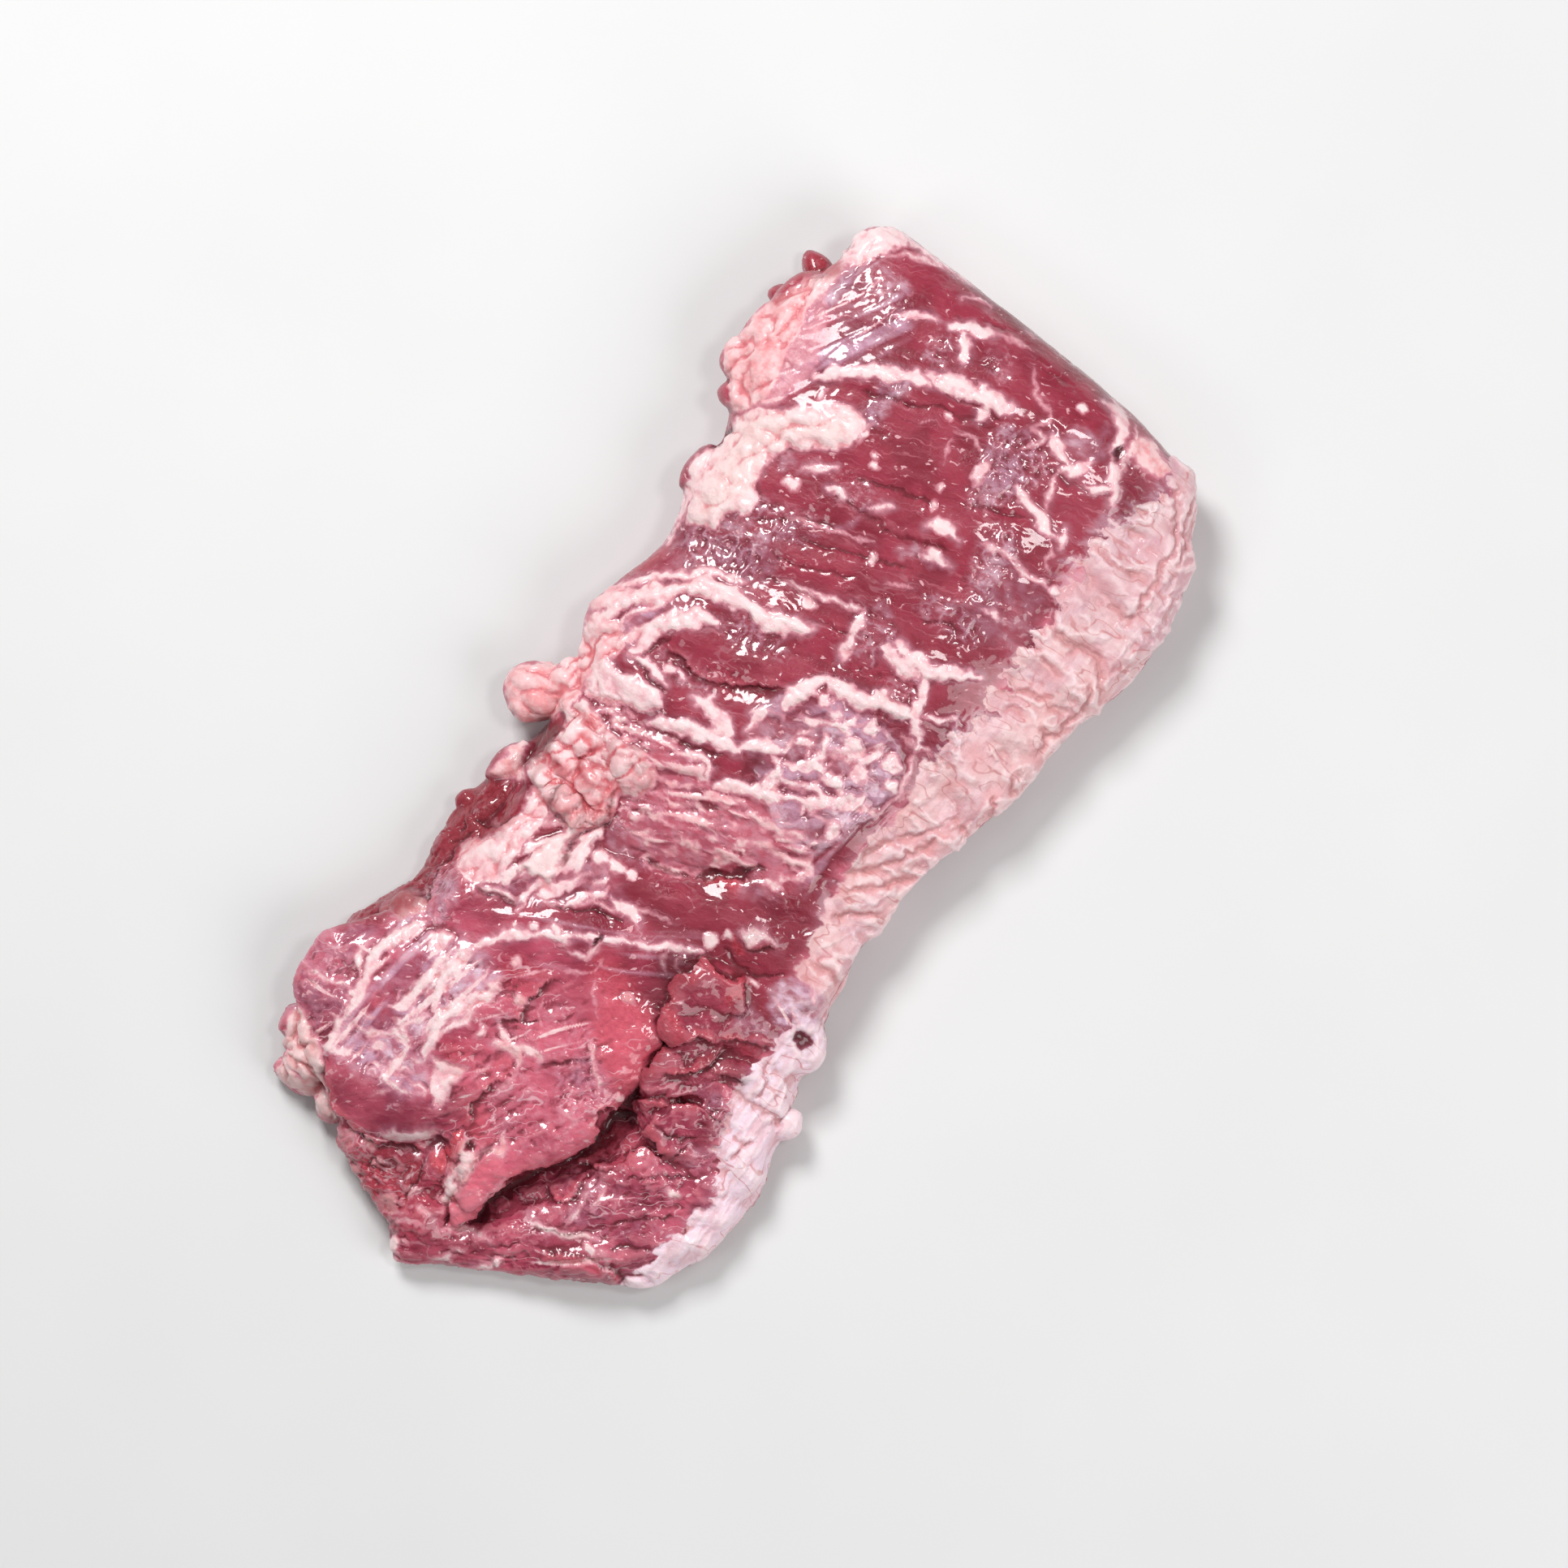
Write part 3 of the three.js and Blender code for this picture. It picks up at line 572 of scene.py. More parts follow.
UPPER_SEAMS = [
    (4.0, 0.8, [(-53, 122), (-47, 129), (-40, 133.5), (-32, 138), (-23.5, 141)]),
    (6.5, 1.0, [(-23, 143.5), (-17, 145), (-8, 147), (1, 149)]),
    (3.5, 0.5, [(-5, 145), (-4, 140)]),
    (4.0, 0.7, [(-28, 159), (-22, 162), (-15, 165)]),
    (4.0, 0.7, [(-22, 159), (-20, 155), (-17.5, 152)]),
    (1.2, 0.2, [(-16, 165), (-9, 167), (-2, 167)]),
    (1.8, 0.3, [(-30, 168), (-26, 170.5), (-21, 170.5)]),
    (1.4, 0.2, [(-8, 172.5), (-3, 172)]),
    (2.0, 0.3, [(-66, 170), (-57, 175), (-50, 174), (-40, 174.5), (-28, 175)]),
    (1.4, 0.2, [(-57, 165), (-52, 169), (-46, 172), (-40, 173.5)]),
    (1.2, 0.2, [(0, 163), (3, 160), (6, 157), (11, 156), (12.5, 152), (11, 148)]),
    (1.0, 0.2, [(-20, 129), (-14, 132)]),
    (1.0, 0.2, [(-8, 132), (-5, 123)]),
    (1.0, 0.2, [(-10, 133), (-2, 134), (4, 132)]),
    (1.6, 0.2, [(25, 142), (27, 134), (29, 130)]),
    (1.6, 0.3, [(18, 110), (28, 111), (38, 110.5), (44, 110)]),
    (2.6, 0.5, [(24, 168), (30, 167), (34, 162), (36, 156), (38, 152), (42, 147), (44, 142)]),
    (1.8, 0.4, [(36, 168), (38.5, 160), (40, 152), (44, 144)]),
    (6.0, 0.8, [(17, 149), (21, 147), (26, 145)]),
    (3.0, 0.5, [(25, 142), (29, 144), (31, 150)]),
    (1.6, 0.3, [(11, 147), (15, 147), (12, 141)]),
    (3.2, 0.5, [(33, 142.5), (38, 144), (42, 147)]),
    (4.0, 0.7, [(17, 129.5), (22, 128), (28, 127), (33, 124.5), (35, 125)]),
    (1.2, 0.2, [(34, 124), (37, 118), (41, 113)]),
    (2.6, 0.5, [(37.5, 129), (38, 122)]),
    (1.2, 0.2, [(0, 82.5), (5, 85.5), (9, 86.5)]),
    (1.5, 0.3, [(-26, 65.5), (-15, 68), (-10, 69.5), (-3, 71), (2, 72)]),
    (1.2, 0.2, [(-37, 82), (-31, 84), (-25, 86), (-20, 88), (-15, 90), (-8, 92)]),
    (3.0, 0.4, [(30, 94), (36, 94.5)]),
    (2.6, 0.4, [(-40, 97), (-32, 103)]),
    (2.4, 0.4, [(-17, 99), (-13, 101), (-10, 104)]),
    (2.2, 0.4, [(1, 104), (5, 108), (12, 107)]),
    (2.6, 0.4, [(5, 96), (10, 98), (14, 98)]),
    (3.6, 0.5, [(-30, 97), (-26, 98), (-25, 96)]),
    (2.4, 0.3, [(-44, 152), (-38, 156), (-32, 159)]),
]
UPPER_BEADS = [
    ((-40, 92), (3, 1.6)), ((5, 107), (3, 2.6)), ((-7, 87), (1.3, 2)), ((20, 161.5), 1.5),
    ((5.5, 127.5), (1.6, 3.4)), ((45, 110.5), (2, 1.6)), ((-63, 113), 1.0), ((-30, 116), (1.0, 3)),
    ((-48, 119), (1.0, 1.8)), ((-24, 113), 1.0), ((-23, 110), 1.2), ((8, 99), (2.2, 1.3)),
    ((-2, 117), (1, 0.7)), ((0, 112), (0.8, 1.4)), ((-12, 136), (1.2, 0.7)),
]
CORNER_LUMP = [
    (-66, 170), (-58, 175.5), (-53, 173), (-56, 169), (-58, 164), (-62, 158), (-66, 158), (-70, 163),
]
CORNER_BAND = [(-63, 166), (-66, 156), (-67, 147), (-68, 138)]
LILAC_FOLD = [(-61, 167), (-61.5, 157), (-63, 148), (-64, 138), (-66, 132)]
PINK_LUMPS = [
    (-72, 146), (-67, 150), (-67, 140), (-64, 130), (-63, 120), (-62, 112), (-64, 104), (-70, 100),
    (-75, 108), (-81, 114), (-79, 125), (-78, 135),
]
STREAKY_SHEET = [
    (-63, 162), (-52, 161), (-41, 156), (-38, 147), (-45, 131), (-54, 121), (-57, 109), (-64, 106),
    (-65, 130),
]
STREAKY_ROOT = [(-67, 142), (-61, 143), (-55, 130), (-54, 118), (-58, 108), (-65, 104)]
FOLD_RIM = [(-30, 178), (45, 174), (38, 167), (10, 168.5), (-20, 171)]
CREAM_PATCH = [
    (-63, 104), (-55, 109), (-46, 117), (-37, 121), (-31, 118.5), (-33, 110), (-38, 106), (-42, 102),
    (-47, 101), (-48.5, 98), (-50, 92), (-49, 86), (-46, 83), (-45.5, 79), (-46, 76), (-50, 75), (-51, 68),
    (-54, 65.5), (-60, 65), (-64, 72), (-67, 76), (-69.5, 80), (-68, 85), (-66, 88), (-66, 97),
]
CREAM_HEART = [
    (-62, 102), (-50, 109), (-37, 118), (-36, 110), (-50, 99), (-50, 80), (-54, 68), (-59, 68), (-62, 90),
]
SALMON_PATCH = [(38, 162), (40, 165), (46, 165), (51, 163), (53, 161), (51, 158), (40, 158)]
DARK_TRIANGLE = [(40, 157), (52, 152), (49, 141), (42, 148)]
RED_CHUNKS = [
    [(-77, 152.5), (-75, 155), (-68, 158), (-64, 153), (-73.5, 145.5)],
    [(-80, 139), (-75, 143), (-76, 134)],
]
UPPER_FILMS = [
    (0.8, [(20, 150), (22, 156), (30, 157), (32, 151), (26, 149)]),
    (0.6, [(28, 162), (31, 160), (30, 155), (37, 155), (36, 153), (29, 154)]),
    (0.8, [(4, 136), (8, 138), (9, 132), (5, 131)]),
    (0.7, [(12, 138), (17, 131), (12, 120), (8, 119), (9, 130)]),
    (0.8, [(-55, 162), (-46, 162), (-47, 155), (-53, 155)]),
    (0.8, [(-35, 134), (-28, 137), (-29, 120), (-33, 122)]),
    (0.7, [(23, 117), (27, 114), (29, 102), (24, 103)]),
    (0.7, [(-41, 72), (-36, 79), (-31, 82), (-32, 78), (-37, 71)]),
    (0.7, [(-49, 75), (-43, 75), (-42, 69), (-49, 68)]),
    (0.6, [(-21, 90), (-17, 95), (-19, 88)]),
    (0.6, [(-3, 94), (3, 99), (4, 95), (0, 92)]),
    (0.6, [(-48, 100), (-43, 97), (-46, 93)]),
    (0.28, [(24, 108), (36, 110), (45, 108), (45, 90), (34, 86), (24, 92)]),
]
UPPER_CREASES = [
    [(-45, 76), (-35, 82), (-28, 86), (-20, 89)],
    [(-30, 79), (-22, 81), (-8, 87), (4, 91)],
    [(-34, 70), (-24, 73), (-14, 77), (-6, 79)],
    [(-32, 63), (-24, 66), (-12, 66)],
    [(-14, 60), (0, 64), (10, 67)],
    [(-26, 103), (-12, 109), (2, 112)],
    [(-40, 126), (-28, 131), (-18, 136), (-10, 138)],
    [(8, 116), (16, 121), (26, 124)],
    [(-12, 96), (0, 99), (12, 103)],
    [(-28, 96), (-18, 97), (-8, 98)],
    [(-20, 141), (-8, 143), (2, 145)],
    [(16, 80), (22, 83), (30, 84)],
]

MIDDLE_SEAMS = [
    (6.0, 1.0, [(-10, 58.5), (-16, 55.5), (-22, 53), (-30, 53.5), (-38, 52.5), (-45, 49.5), (-51, 44),
         (-57, 38), (-64, 32), (-68, 26)]),
    (2.4, 0.5, [(-34, 58.5), (-40, 58), (-46, 55), (-51, 50), (-56, 46), (-60, 42)]),
    (6.5, 1.2, [(-35, 42.5), (-39, 42), (-44, 38), (-48, 33), (-49, 27), (-50, 22)]),
    (5.0, 1.1, [(-3, 35), (-1, 42), (2, 48), (6, 49), (13, 49), (18, 51), (21, 53.5), (26, 53), (31, 55)]),
    (3.8, 1.0, [(18, 54), (23, 53), (31, 55)]),
    (4.0, 0.9, [(14, 70), (18, 69.5), (24, 69.5), (28, 69), (34, 72), (38, 74.5), (41, 76)]),
    (6.0, 0.5, [(12, 67), (20, 66), (25, 67)]),
    (3.2, 0.6, [(28, 69), (30, 62), (32, 56), (35, 51), (38, 47)]),
    (1.4, 0.3, [(38, 47), (41, 38), (41, 30), (40, 20)]),
    (1.4, 0.2, [(31, 47), (38, 47), (44, 49)]),
    (2.0, 0.4, [(34, 57), (38, 58), (43, 61)]),
    (3.0, 0.3, [(1, 72), (2, 64), (3, 56)]),
    (5.0, 1.1, [(-33, 8), (-28, 10), (-20, 12.5), (-14, 15), (-6, 15)]),
    (3.0, 0.6, [(-50, 20), (-42, 21), (-36, 20)]),
    (5.0, 0.8, [(-26, 21.5), (-20, 21), (-12, 19)]),
    (2.4, 0.4, [(-25, 19), (-22, 25)]),
    (3.6, 0.7, [(-36, 25), (-31, 24)]),
    (5.0, 0.8, [(-7, 16), (-2, 20), (4, 22.5)]),
    (4.4, 0.8, [(-5, 2), (-2, 6), (4, 8), (10, 10), (15, 12)]),
    (3.2, 0.7, [(14, 12), (20, 14), (26, 17.5)]),
    (2.6, 0.4, [(6, 21), (8, 14), (5, 8)]),
    (2.6, 0.4, [(3, 20), (10, 17), (16, 18)]),
    (3.0, 0.5, [(11, 38), (16, 40), (20, 38)]),
    (3.0, 0.5, [(12, 35), (15, 30), (14, 25)]),
    (3.2, 0.4, [(16, 24), (22, 26), (26, 23)]),
    (2.4, 0.4, [(-22, 5), (-12, 7), (-8, 2)]),
    (2.4, 0.4, [(-10, 26), (-6, 30), (-8, 22)]),
    (2.2, 0.4, [(4, 0), (14, 3), (22, 3)]),
    (1.8, 0.3, [(10, -6), (20, -3), (30, -5)]),
]
MIDDLE_CREASES = [
    (1.6, 0.8, 0.7, [(-44, 32), (-45, 27), (-49, 22)]),
    (1.6, 0.9, 0.7, [(-50, 20), (-42, 18), (-37, 18), (-34, 19)]),
    (1.4, 0.7, 0.6, [(-34, 6.5), (-26, 7), (-16, 9), (-8, 12)]),
]
MIDDLE_BEADS = [
    ((6, 43), 2), ((22, 36), (3.2, 3.4)), ((28, 31), (2.4, 2.6)), ((9, 29), (2.6, 1.6)), ((23, 45), (2, 2)),
    ((33, 24), (1.6, 2.6)), ((-15, 65), (2.4, 1.4)), ((31, 12), (2, 3)), ((-38, 24), (1.6, 1.2)),
]
WIDE_FAT = [
    (-57, 17), (-50, 14), (-44, 16), (-37, 17), (-33, 13.5), (-36, 10), (-43, 7), (-50, 4), (-56, 4),
]
SWEPT_FAT = [
    (-44, 51), (-50, 41), (-50, 30), (-52, 22), (-60, 18), (-67, 20), (-70, 26), (-69, 33), (-63, 42),
    (-54, 48),
]
SWEPT_SEAMS = [
    (2.2, 0.6, [(-44, 53.5), (-52, 49), (-59, 43), (-65, 36), (-68.5, 28), (-70, 23)]),
    (3.2, 0.8, [(-42, 50.5), (-50, 45), (-56, 39), (-61, 32), (-64.5, 25), (-66, 20)]),
    (1.8, 0.5, [(-50, 40.5), (-54, 36), (-58, 30), (-61, 23)]),
    (2.6, 0.5, [(-49, 33), (-53, 28), (-56, 21)]),
]
SALMON_SIDE = [(-67, 24), (-58, 26), (-53, 20), (-56, 14), (-57, 0), (-63, 2), (-67, 8), (-66, 16)]
PALE_RIM = [(-66, 77), (-64, 69), (-62.6, 60), (-63.5, 52)]
MOTTLED_FILM = [(0, 40), (20, 45), (34, 42), (40, 28), (34, 14), (28, 2), (12, 8), (-7, 25)]
WRINKLED_FILM = [
    (-59, 65), (-47, 66), (-40, 70), (-31, 72), (-29, 60), (-36, 57), (-48, 59), (-51, 51), (-59, 53),
]
FILM_BLOB = [(-59, 36), (-55, 40), (-50, 37), (-52, 32), (-57, 30)]
MUSCLE_EDGE = [(-44, 29), (-35, 28.5), (-27, 28), (-20, 31), (-12, 36), (-5, 39)]
OUTER_STRIP = [(-60, 54), (-64, 50), (-70, 30), (-71.5, 22), (-68, 22), (-66, 38)]
STREAKED_SIDE = [(28, 18), (32, 30), (42, 30), (43, 12), (40, -6), (31, -4)]
WET_SLOPE = [(-50, 31), (-28, 31), (-18, 27), (-24, 17), (-34, 16), (-50, 22)]
WAIST_TISSUE = [
    (-50, 3), (-30, 6), (-10, 4), (5, 6), (24, 4), (34, -6), (24, -12), (14, -14), (4, -24), (-8, -30),
    (-24, -22), (-30, -8), (-44, 0),
]

FAT_BALL = [(-58, 2), (-58, -6), (-61, -13), (-67, -16), (-75, -12), (-79, -5), (-74, 2), (-66, 5)]
FAT_MASS = [
    (-56, 0), (-49, 1), (-40, -3), (-33, -2), (-25, -3), (-21, -7), (-23, -13), (-29, -17), (-27, -23),
    (-29, -29), (-37, -32), (-46, -31), (-54, -27), (-57, -20), (-55, -10),
]
FAT_LUMPS = [
    (5.0, [(-41, -9), (-38, -5), (-33, -3), (-28, -3), (-24, -5), (-22, -7), (-24, -12), (-29, -15),
         (-33, -10), (-38, -10)]),
    (6.0, [(-57, -20), (-50, -17), (-44, -19), (-44, -27), (-50, -29), (-56, -26)]),
]
MASS_GAPS = [
    (2.2, 0.9, [(-42, -9), (-44, -14), (-41, -18), (-35, -18), (-30, -16)]),
    (1.8, 0.8, [(-43, -20), (-40, -24), (-33, -25), (-28, -22)]),
    (1.6, 0.8, [(-56, -18), (-50, -20), (-45, -20)]),
]
SIDE_FAT = [(-66, -35), (-64, -24), (-61, -22), (-58, -27), (-55, -29), (-59, -31), (-62, -33)]
REDDISH_LUMPS = [(-44, -23), (-38, -22), (-31, -22), (-27, -26), (-30, -30), (-37, -32), (-43, -30)]
FAT_COLUMN = [
    (-51, -30), (-46, -30), (-43, -36), (-44, -45), (-44, -54), (-46, -60), (-49, -65), (-53, -65),
    (-57, -62), (-59, -57), (-57, -53), (-53, -51), (-51, -47), (-51, -40),
]
CREAM_PAD = [
    (-38, -30), (-33, -30), (-33, -37), (-32, -45), (-31, -51), (-35, -52), (-40, -52), (-40, -46),
    (-38, -41), (-36, -36),
]
PALE_TISSUE = [
    (-48, -28), (-30, -28), (-24, -36), (-16, -42), (-20, -50), (-34, -60), (-48, -66), (-44, -40),
]
RED_HOLLOW = [(-61, -11), (-56, -9), (-55, -20), (-58, -26), (-60, -20)]
RED_SIDE = [
    (-67, -35), (-58, -34), (-52, -40), (-52, -48), (-59, -56), (-60, -80), (-70, -94), (-78, -96),
    (-70, -50),
]
GREY_MEMBRANE = [(-28, -36), (-12, -40), (-18, -50), (-30, -58), (-45, -64), (-42, -52)]
LOWER_SEAMS = [
    (2.6, 0.6, [(-62, -15), (-63, -22), (-65, -25)]),
    (3.8, 1.3, [(-58, 2), (-58, -3), (-53, -4.5), (-49, -1)]),
    (4.4, 0.9, [(-29, -29), (-28, -34), (-27, -40), (-26, -44)]),
    (1.8, 0.4, [(-49, -66), (-43, -62.5), (-35, -61)]),
    (1.2, 0.4, [(-36, -55), (-34, -60), (-35, -66)]),
    (2.4, 0.6, [(20, -41), (10, -47), (3, -51), (-3, -53), (-7, -55), (-10, -57), (-15, -59)]),
    (3.2, 0.6, [(-15, -60), (-20, -63), (-26, -67), (-31, -71), (-35, -76), (-39, -82)]),
    (1.6, 0.6, [(-7, -55), (-8, -60), (-8.5, -63), (-12, -64), (-16, -64.5)]),
    (1.2, 0.4, [(-15, -61), (-18, -65), (-20, -69)]),
    (1.6, 0.4, [(13, -46), (11, -50), (14, -53)]),
    (1.2, 0.5, [(15, -45), (15, -49), (18, -50)]),
    (3.0, 0.5, [(-12, -44), (-4, -44), (0, -46)]),
    (1.2, 0.3, [(-12, -46), (-4, -42), (3, -40), (8, -38)]),
    (1.4, 0.3, [(-20, -51), (-12, -47), (-6, -44)]),
    (4.2, 0.8, [(-55, -83), (-59, -92), (-62, -100), (-60, -110), (-59, -120)]),
    (2.4, 0.7, [(-59, -118), (-58, -128), (-58, -135)]),
    (3.2, 0.6, [(-43, -84), (-45, -92), (-45, -100), (-46, -107), (-50, -110)]),
    (3.0, 0.5, [(-36, -86), (-40, -94), (-38, -102), (-34, -104)]),
    (3.4, 0.6, [(-25, -88), (-29, -95), (-33, -102), (-33, -110), (-31, -118)]),
    (2.0, 0.5, [(-66, -98), (-66, -104), (-62, -110)]),
    (1.6, 0.3, [(-77, -118), (-74, -115), (-68, -114), (-62, -113)]),
    (1.8, 0.4, [(-74, -118), (-71, -119)]),
    (1.6, 0.3, [(-78, -122), (-76, -125)]),
    (2.4, 0.4, [(-19, -94), (-12, -99), (-4, -96), (-2, -98)]),
    (3.6, 0.4, [(-18, -102), (-10, -100), (-6, -104)]),
    (2.4, 0.5, [(-28, -129), (-36, -130), (-40, -128)]),
    (1.4, 0.3, [(-38, -136), (-34, -132)]),
    (1.4, 0.3, [(-32, -136), (-29, -133)]),
    (2.6, 0.4, [(-29, -143), (-24, -140), (-20, -137), (-15, -134)]),
    (1.4, 0.4, [(-14, -106), (-16, -114)]),
    (1.2, 0.3, [(-5, -104), (-8, -116)]),
    (0.9, 0.2, [(-13, -72), (-7, -68), (-3, -63), (-4, -59)]),
    (0.9, 0.2, [(-13, -80), (-9, -87), (-3, -88)]),
    (1.0, 0.2, [(-3, -66), (0, -72), (5, -76)]),
    (1.4, 0.3, [(10, -107), (17, -106), (16, -110)]),
    (1.6, 0.3, [(6, -82), (12, -88), (20, -97)]),
    (1.3, 0.3, [(32, -119), (34, -126), (34, -136)]),
    (1.3, 0.3, [(36, -117), (38, -122), (37, -128)]),
    (2.0, 0.3, [(22, -139), (32, -139), (44, -133)]),
    (1.6, 0.3, [(46, -136), (50, -136), (52, -140)]),
    (1.2, 0.3, [(9, -132), (8.5, -140), (9, -150)]),
    (1.6, 0.4, [(23, -156), (21, -160), (17, -163)]),
    (1.4, 0.3, [(0, -158), (8, -155), (18, -152)]),
    (1.2, 0.3, [(10, -160), (9, -166)]),
    (2.6, 0.4, [(2, -121), (4, -126), (0, -130)]),
    (1.4, 0.6, [(-10, -129), (-4, -133), (-3, -138)]),
]
LOWER_BEADS = [
    ((-22, -36), (2.6, 2)), ((-17, -35), (2.6, 2.2)), ((-12, -35), (2.2, 2)), ((-32, -49), (1.8, 2.4)),
    ((-21.5, -61.5), (2.2, 1.2)), ((-27.5, -64.5), 1.3), ((-31.5, -68), 0.9), ((-25.5, -77), (1.3, 1.8)),
    ((-27, -86.5), (2, 1.5)), ((-18, -85.5), (1.8, 1.4)), ((20, -37), (2.4, 2.2)), ((23, -33), (1.6, 1.2)),
    ((37, -40.5), (1.6, 1)), ((-3, -134), 2.4), ((-2, -140), 3), ((-1, -145.5), 2.4),
    ((-36, -152), (1.2, 2)), ((-30, -148.5), 1.4), ((-24, -151), (1.4, 1.2)), ((-7, -171), (1.6, 2.6)),
    ((-11, -154), (1, 1.6)), ((-22.5, -101), (0.9, 2)), ((22.5, -93), 1.4), ((-55, -46), (1.2, 1)),
    ((55, -108), (2, 1)), ((10, -66), (2.2, 1.4)), ((44, -137), (2, 1.4)), ((-4, -157), (2.4, 1)),
]
COLUMN_WEB = [
    (-66, -86), (-50, -82), (-34, -80), (-22, -88), (-30, -100), (-29, -118), (-32, -130), (-56, -132),
    (-61, -112),
]
LOBE_WEB = [(-28, -86), (-6, -70), (20, -88), (22, -118), (4, -128), (-12, -128), (-22, -110)]
RIGHT_WEB = [(28, -100), (50, -95), (62, -105), (60, -128), (44, -146), (24, -152), (22, -130)]
TIP_WEB = [
    (-36, -146), (-12, -144), (4, -156), (22, -152), (20, -162), (-3, -175), (-16, -166), (-36, -158),
]
BROAD_WHITE = [(-50, -84), (-36, -82), (-26, -86), (-28, -98), (-34, -112), (-46, -112), (-48, -98)]
WHITISH_FILM = [(-56, -119), (-44, -116), (-30, -118), (-27, -130), (-40, -133), (-56, -131)]
LEFT_WEB = [(-80, -102), (-64, -98), (-60, -112), (-60, -130), (-72, -128), (-80, -120)]
DIAGONAL_WEB = [
    (-48, -70), (-34, -62), (-20, -56), (0, -46), (18, -36), (16, -60), (-8, -72), (-30, -84), (-46, -80),
]
LILAC_FILMS = [
    (0.9, [(-48, -82), (-30, -82), (-31, -108), (-46, -110)]),
    (0.8, [(-55, -66), (-51, -75), (-54, -90), (-62, -92), (-60, -72)]),
    (1.0, [(-57, -120), (-30, -117), (-27, -131), (-42, -134), (-57, -132)]),
    (0.4, [(40, -47), (50, -49), (52, -55), (42, -54)]),
    (0.6, [(44, -75), (54, -74), (52, -80), (44, -79)]),
    (0.4, [(32, -118), (38, -118), (38, -134), (32, -134)]),
    (0.4, [(50, -92), (60, -91), (60, -98), (50, -98)]),
    (0.5, [(10, -88), (18, -92), (14, -100), (8, -98)]),
    (0.4, [(20, -12), (30, -14), (28, -20), (18, -20)]),
    (0.5, [(-25, -22), (-12, -20), (-8, -30), (-22, -32)]),
]
SILVER_PATCH = [
    (46, -34), (52, -30), (60, -31), (63, -37), (62, -42), (56, -44), (50, -46), (45, -42), (43, -38),
]
RED_FOLDS = [(-66, -48), (-58, -50), (-57, -66), (-60, -82), (-66, -80)]
LEFT_LOBE = [(-84, -100), (-66, -94), (-60, -110), (-60, -130), (-76, -132), (-86, -120)]
LOWER_LAYER = [(-46, -150), (-30, -149), (-14, -144), (-10, -158), (-16, -167), (-34, -160)]
MAIN_LOBE = [
    (-24, -88), (-8, -70), (20, -68), (26, -90), (23, -116), (8, -134), (4, -156), (-8, -128), (-22, -116),
]
TONGUE_SIDE = [(-8, -112), (6, -104), (20, -112), (10, -132), (7, -154), (0, -150), (-2, -130)]
TAN_PATCH = [(-67, -80), (-60, -77), (-58, -80), (-61, -86), (-66, -85)]
WHITE_TAB = [(-67, -81), (-70, -86), (-69, -90), (-66, -86)]
PALE_PATCH = [(-30, -115), (-24, -114), (-19, -112), (-20, -118), (-20, -127), (-25, -124), (-26, -119)]
FAT_LOBES = [
    [(-73, -128), (-66, -129), (-65, -136), (-68, -140), (-72, -137)],
    [(-66, -131), (-58, -134), (-54, -139), (-58, -143), (-66, -142)],
    [(-58, -142), (-54, -140), (-51, -144), (-56, -149), (-60, -147)],
    [(-67, -142), (-60, -145), (-60, -149), (-66, -149)],
    [(-51, -144), (-45, -143), (-42, -147), (-46, -151), (-51, -150)],
]
PURPLE_MUSCLE = [
    (-57, -134), (-40, -132), (-25, -130), (-14, -134), (-20, -141), (-30, -147), (-42, -146), (-52, -140),
]
CLEAR_MUSCLE = [(-46, -67), (-36, -62), (-26, -63), (-28, -72), (-38, -78), (-48, -78)]
MAROON_MUSCLE = [
    (20, -22), (34, -14), (42, -14), (48, -28), (46, -32), (38, -38), (28, -41), (20, -38), (10, -42),
    (0, -40),
]
SMOOTH_MUSCLES = [
    (0.85, PURPLE_MUSCLE),
    (0.9, MAROON_MUSCLE),
    (0.3, LEFT_LOBE),
    (0.5, MAIN_LOBE),
    (0.7, COLUMN_WEB),
    (0.8, DIAGONAL_WEB),
]
FILM_LEAF = [(25, -30), (28, -26.5), (31, -25), (35, -26), (39, -28), (33, -28), (31, -32), (27, -30.5)]
CREVICE = [(9, -151), (11, -141), (15, -131), (21, -121), (25, -112), (28, -100), (33, -93)]
RED_TONGUE = [(1, -128), (0, -140), (1, -148), (4, -155), (7, -152), (8, -140), (9, -130)]
TONGUE_FAT = [(-6, -131), (-1, -130), (0, -140), (1, -148), (-3, -150), (-5, -140)]
RED_CHUNK = [(-11, -130), (-6, -130), (-5, -140), (-8, -144), (-13, -141), (-10, -136)]
BRIGHT_AREAS = [
    (0.75, [(4, -63), (20, -68), (26, -80), (24, -92), (12, -88), (4, -76)]),
    (0.5, [(-28, -76), (-16, -74), (-16, -84), (-28, -86)]),
    (0.5, [(-6, -58), (10, -62), (6, -70), (-6, -68)]),
    (0.6, [(-58, -104), (-50, -112), (-50, -116), (-58, -110)]),
    (0.6, [(-29, -108), (-20, -108), (-21, -114), (-28, -114)]),
    (0.6, [(-14, -104), (-6, -100), (-8, -108), (-18, -112)]),
    (0.6, [(-36, -155), (-20, -158), (-18, -164), (-36, -160)]),
    (0.6, [(-10, -120), (4, -122), (2, -130), (-10, -130)]),
    (0.5, [(28, -100), (40, -104), (36, -114), (26, -116)]),
    (0.5, [(36, -136), (42, -134), (38, -140), (34, -140)]),
    (0.5, [(-64, -124), (-60, -122), (-60, -132), (-64, -130)]),
    (0.5, [(56, -54), (50, -52), (46, -58), (54, -60)]),
    (0.4, [(-10, -146), (-2, -150), (-2, -168), (-10, -164)]),
]
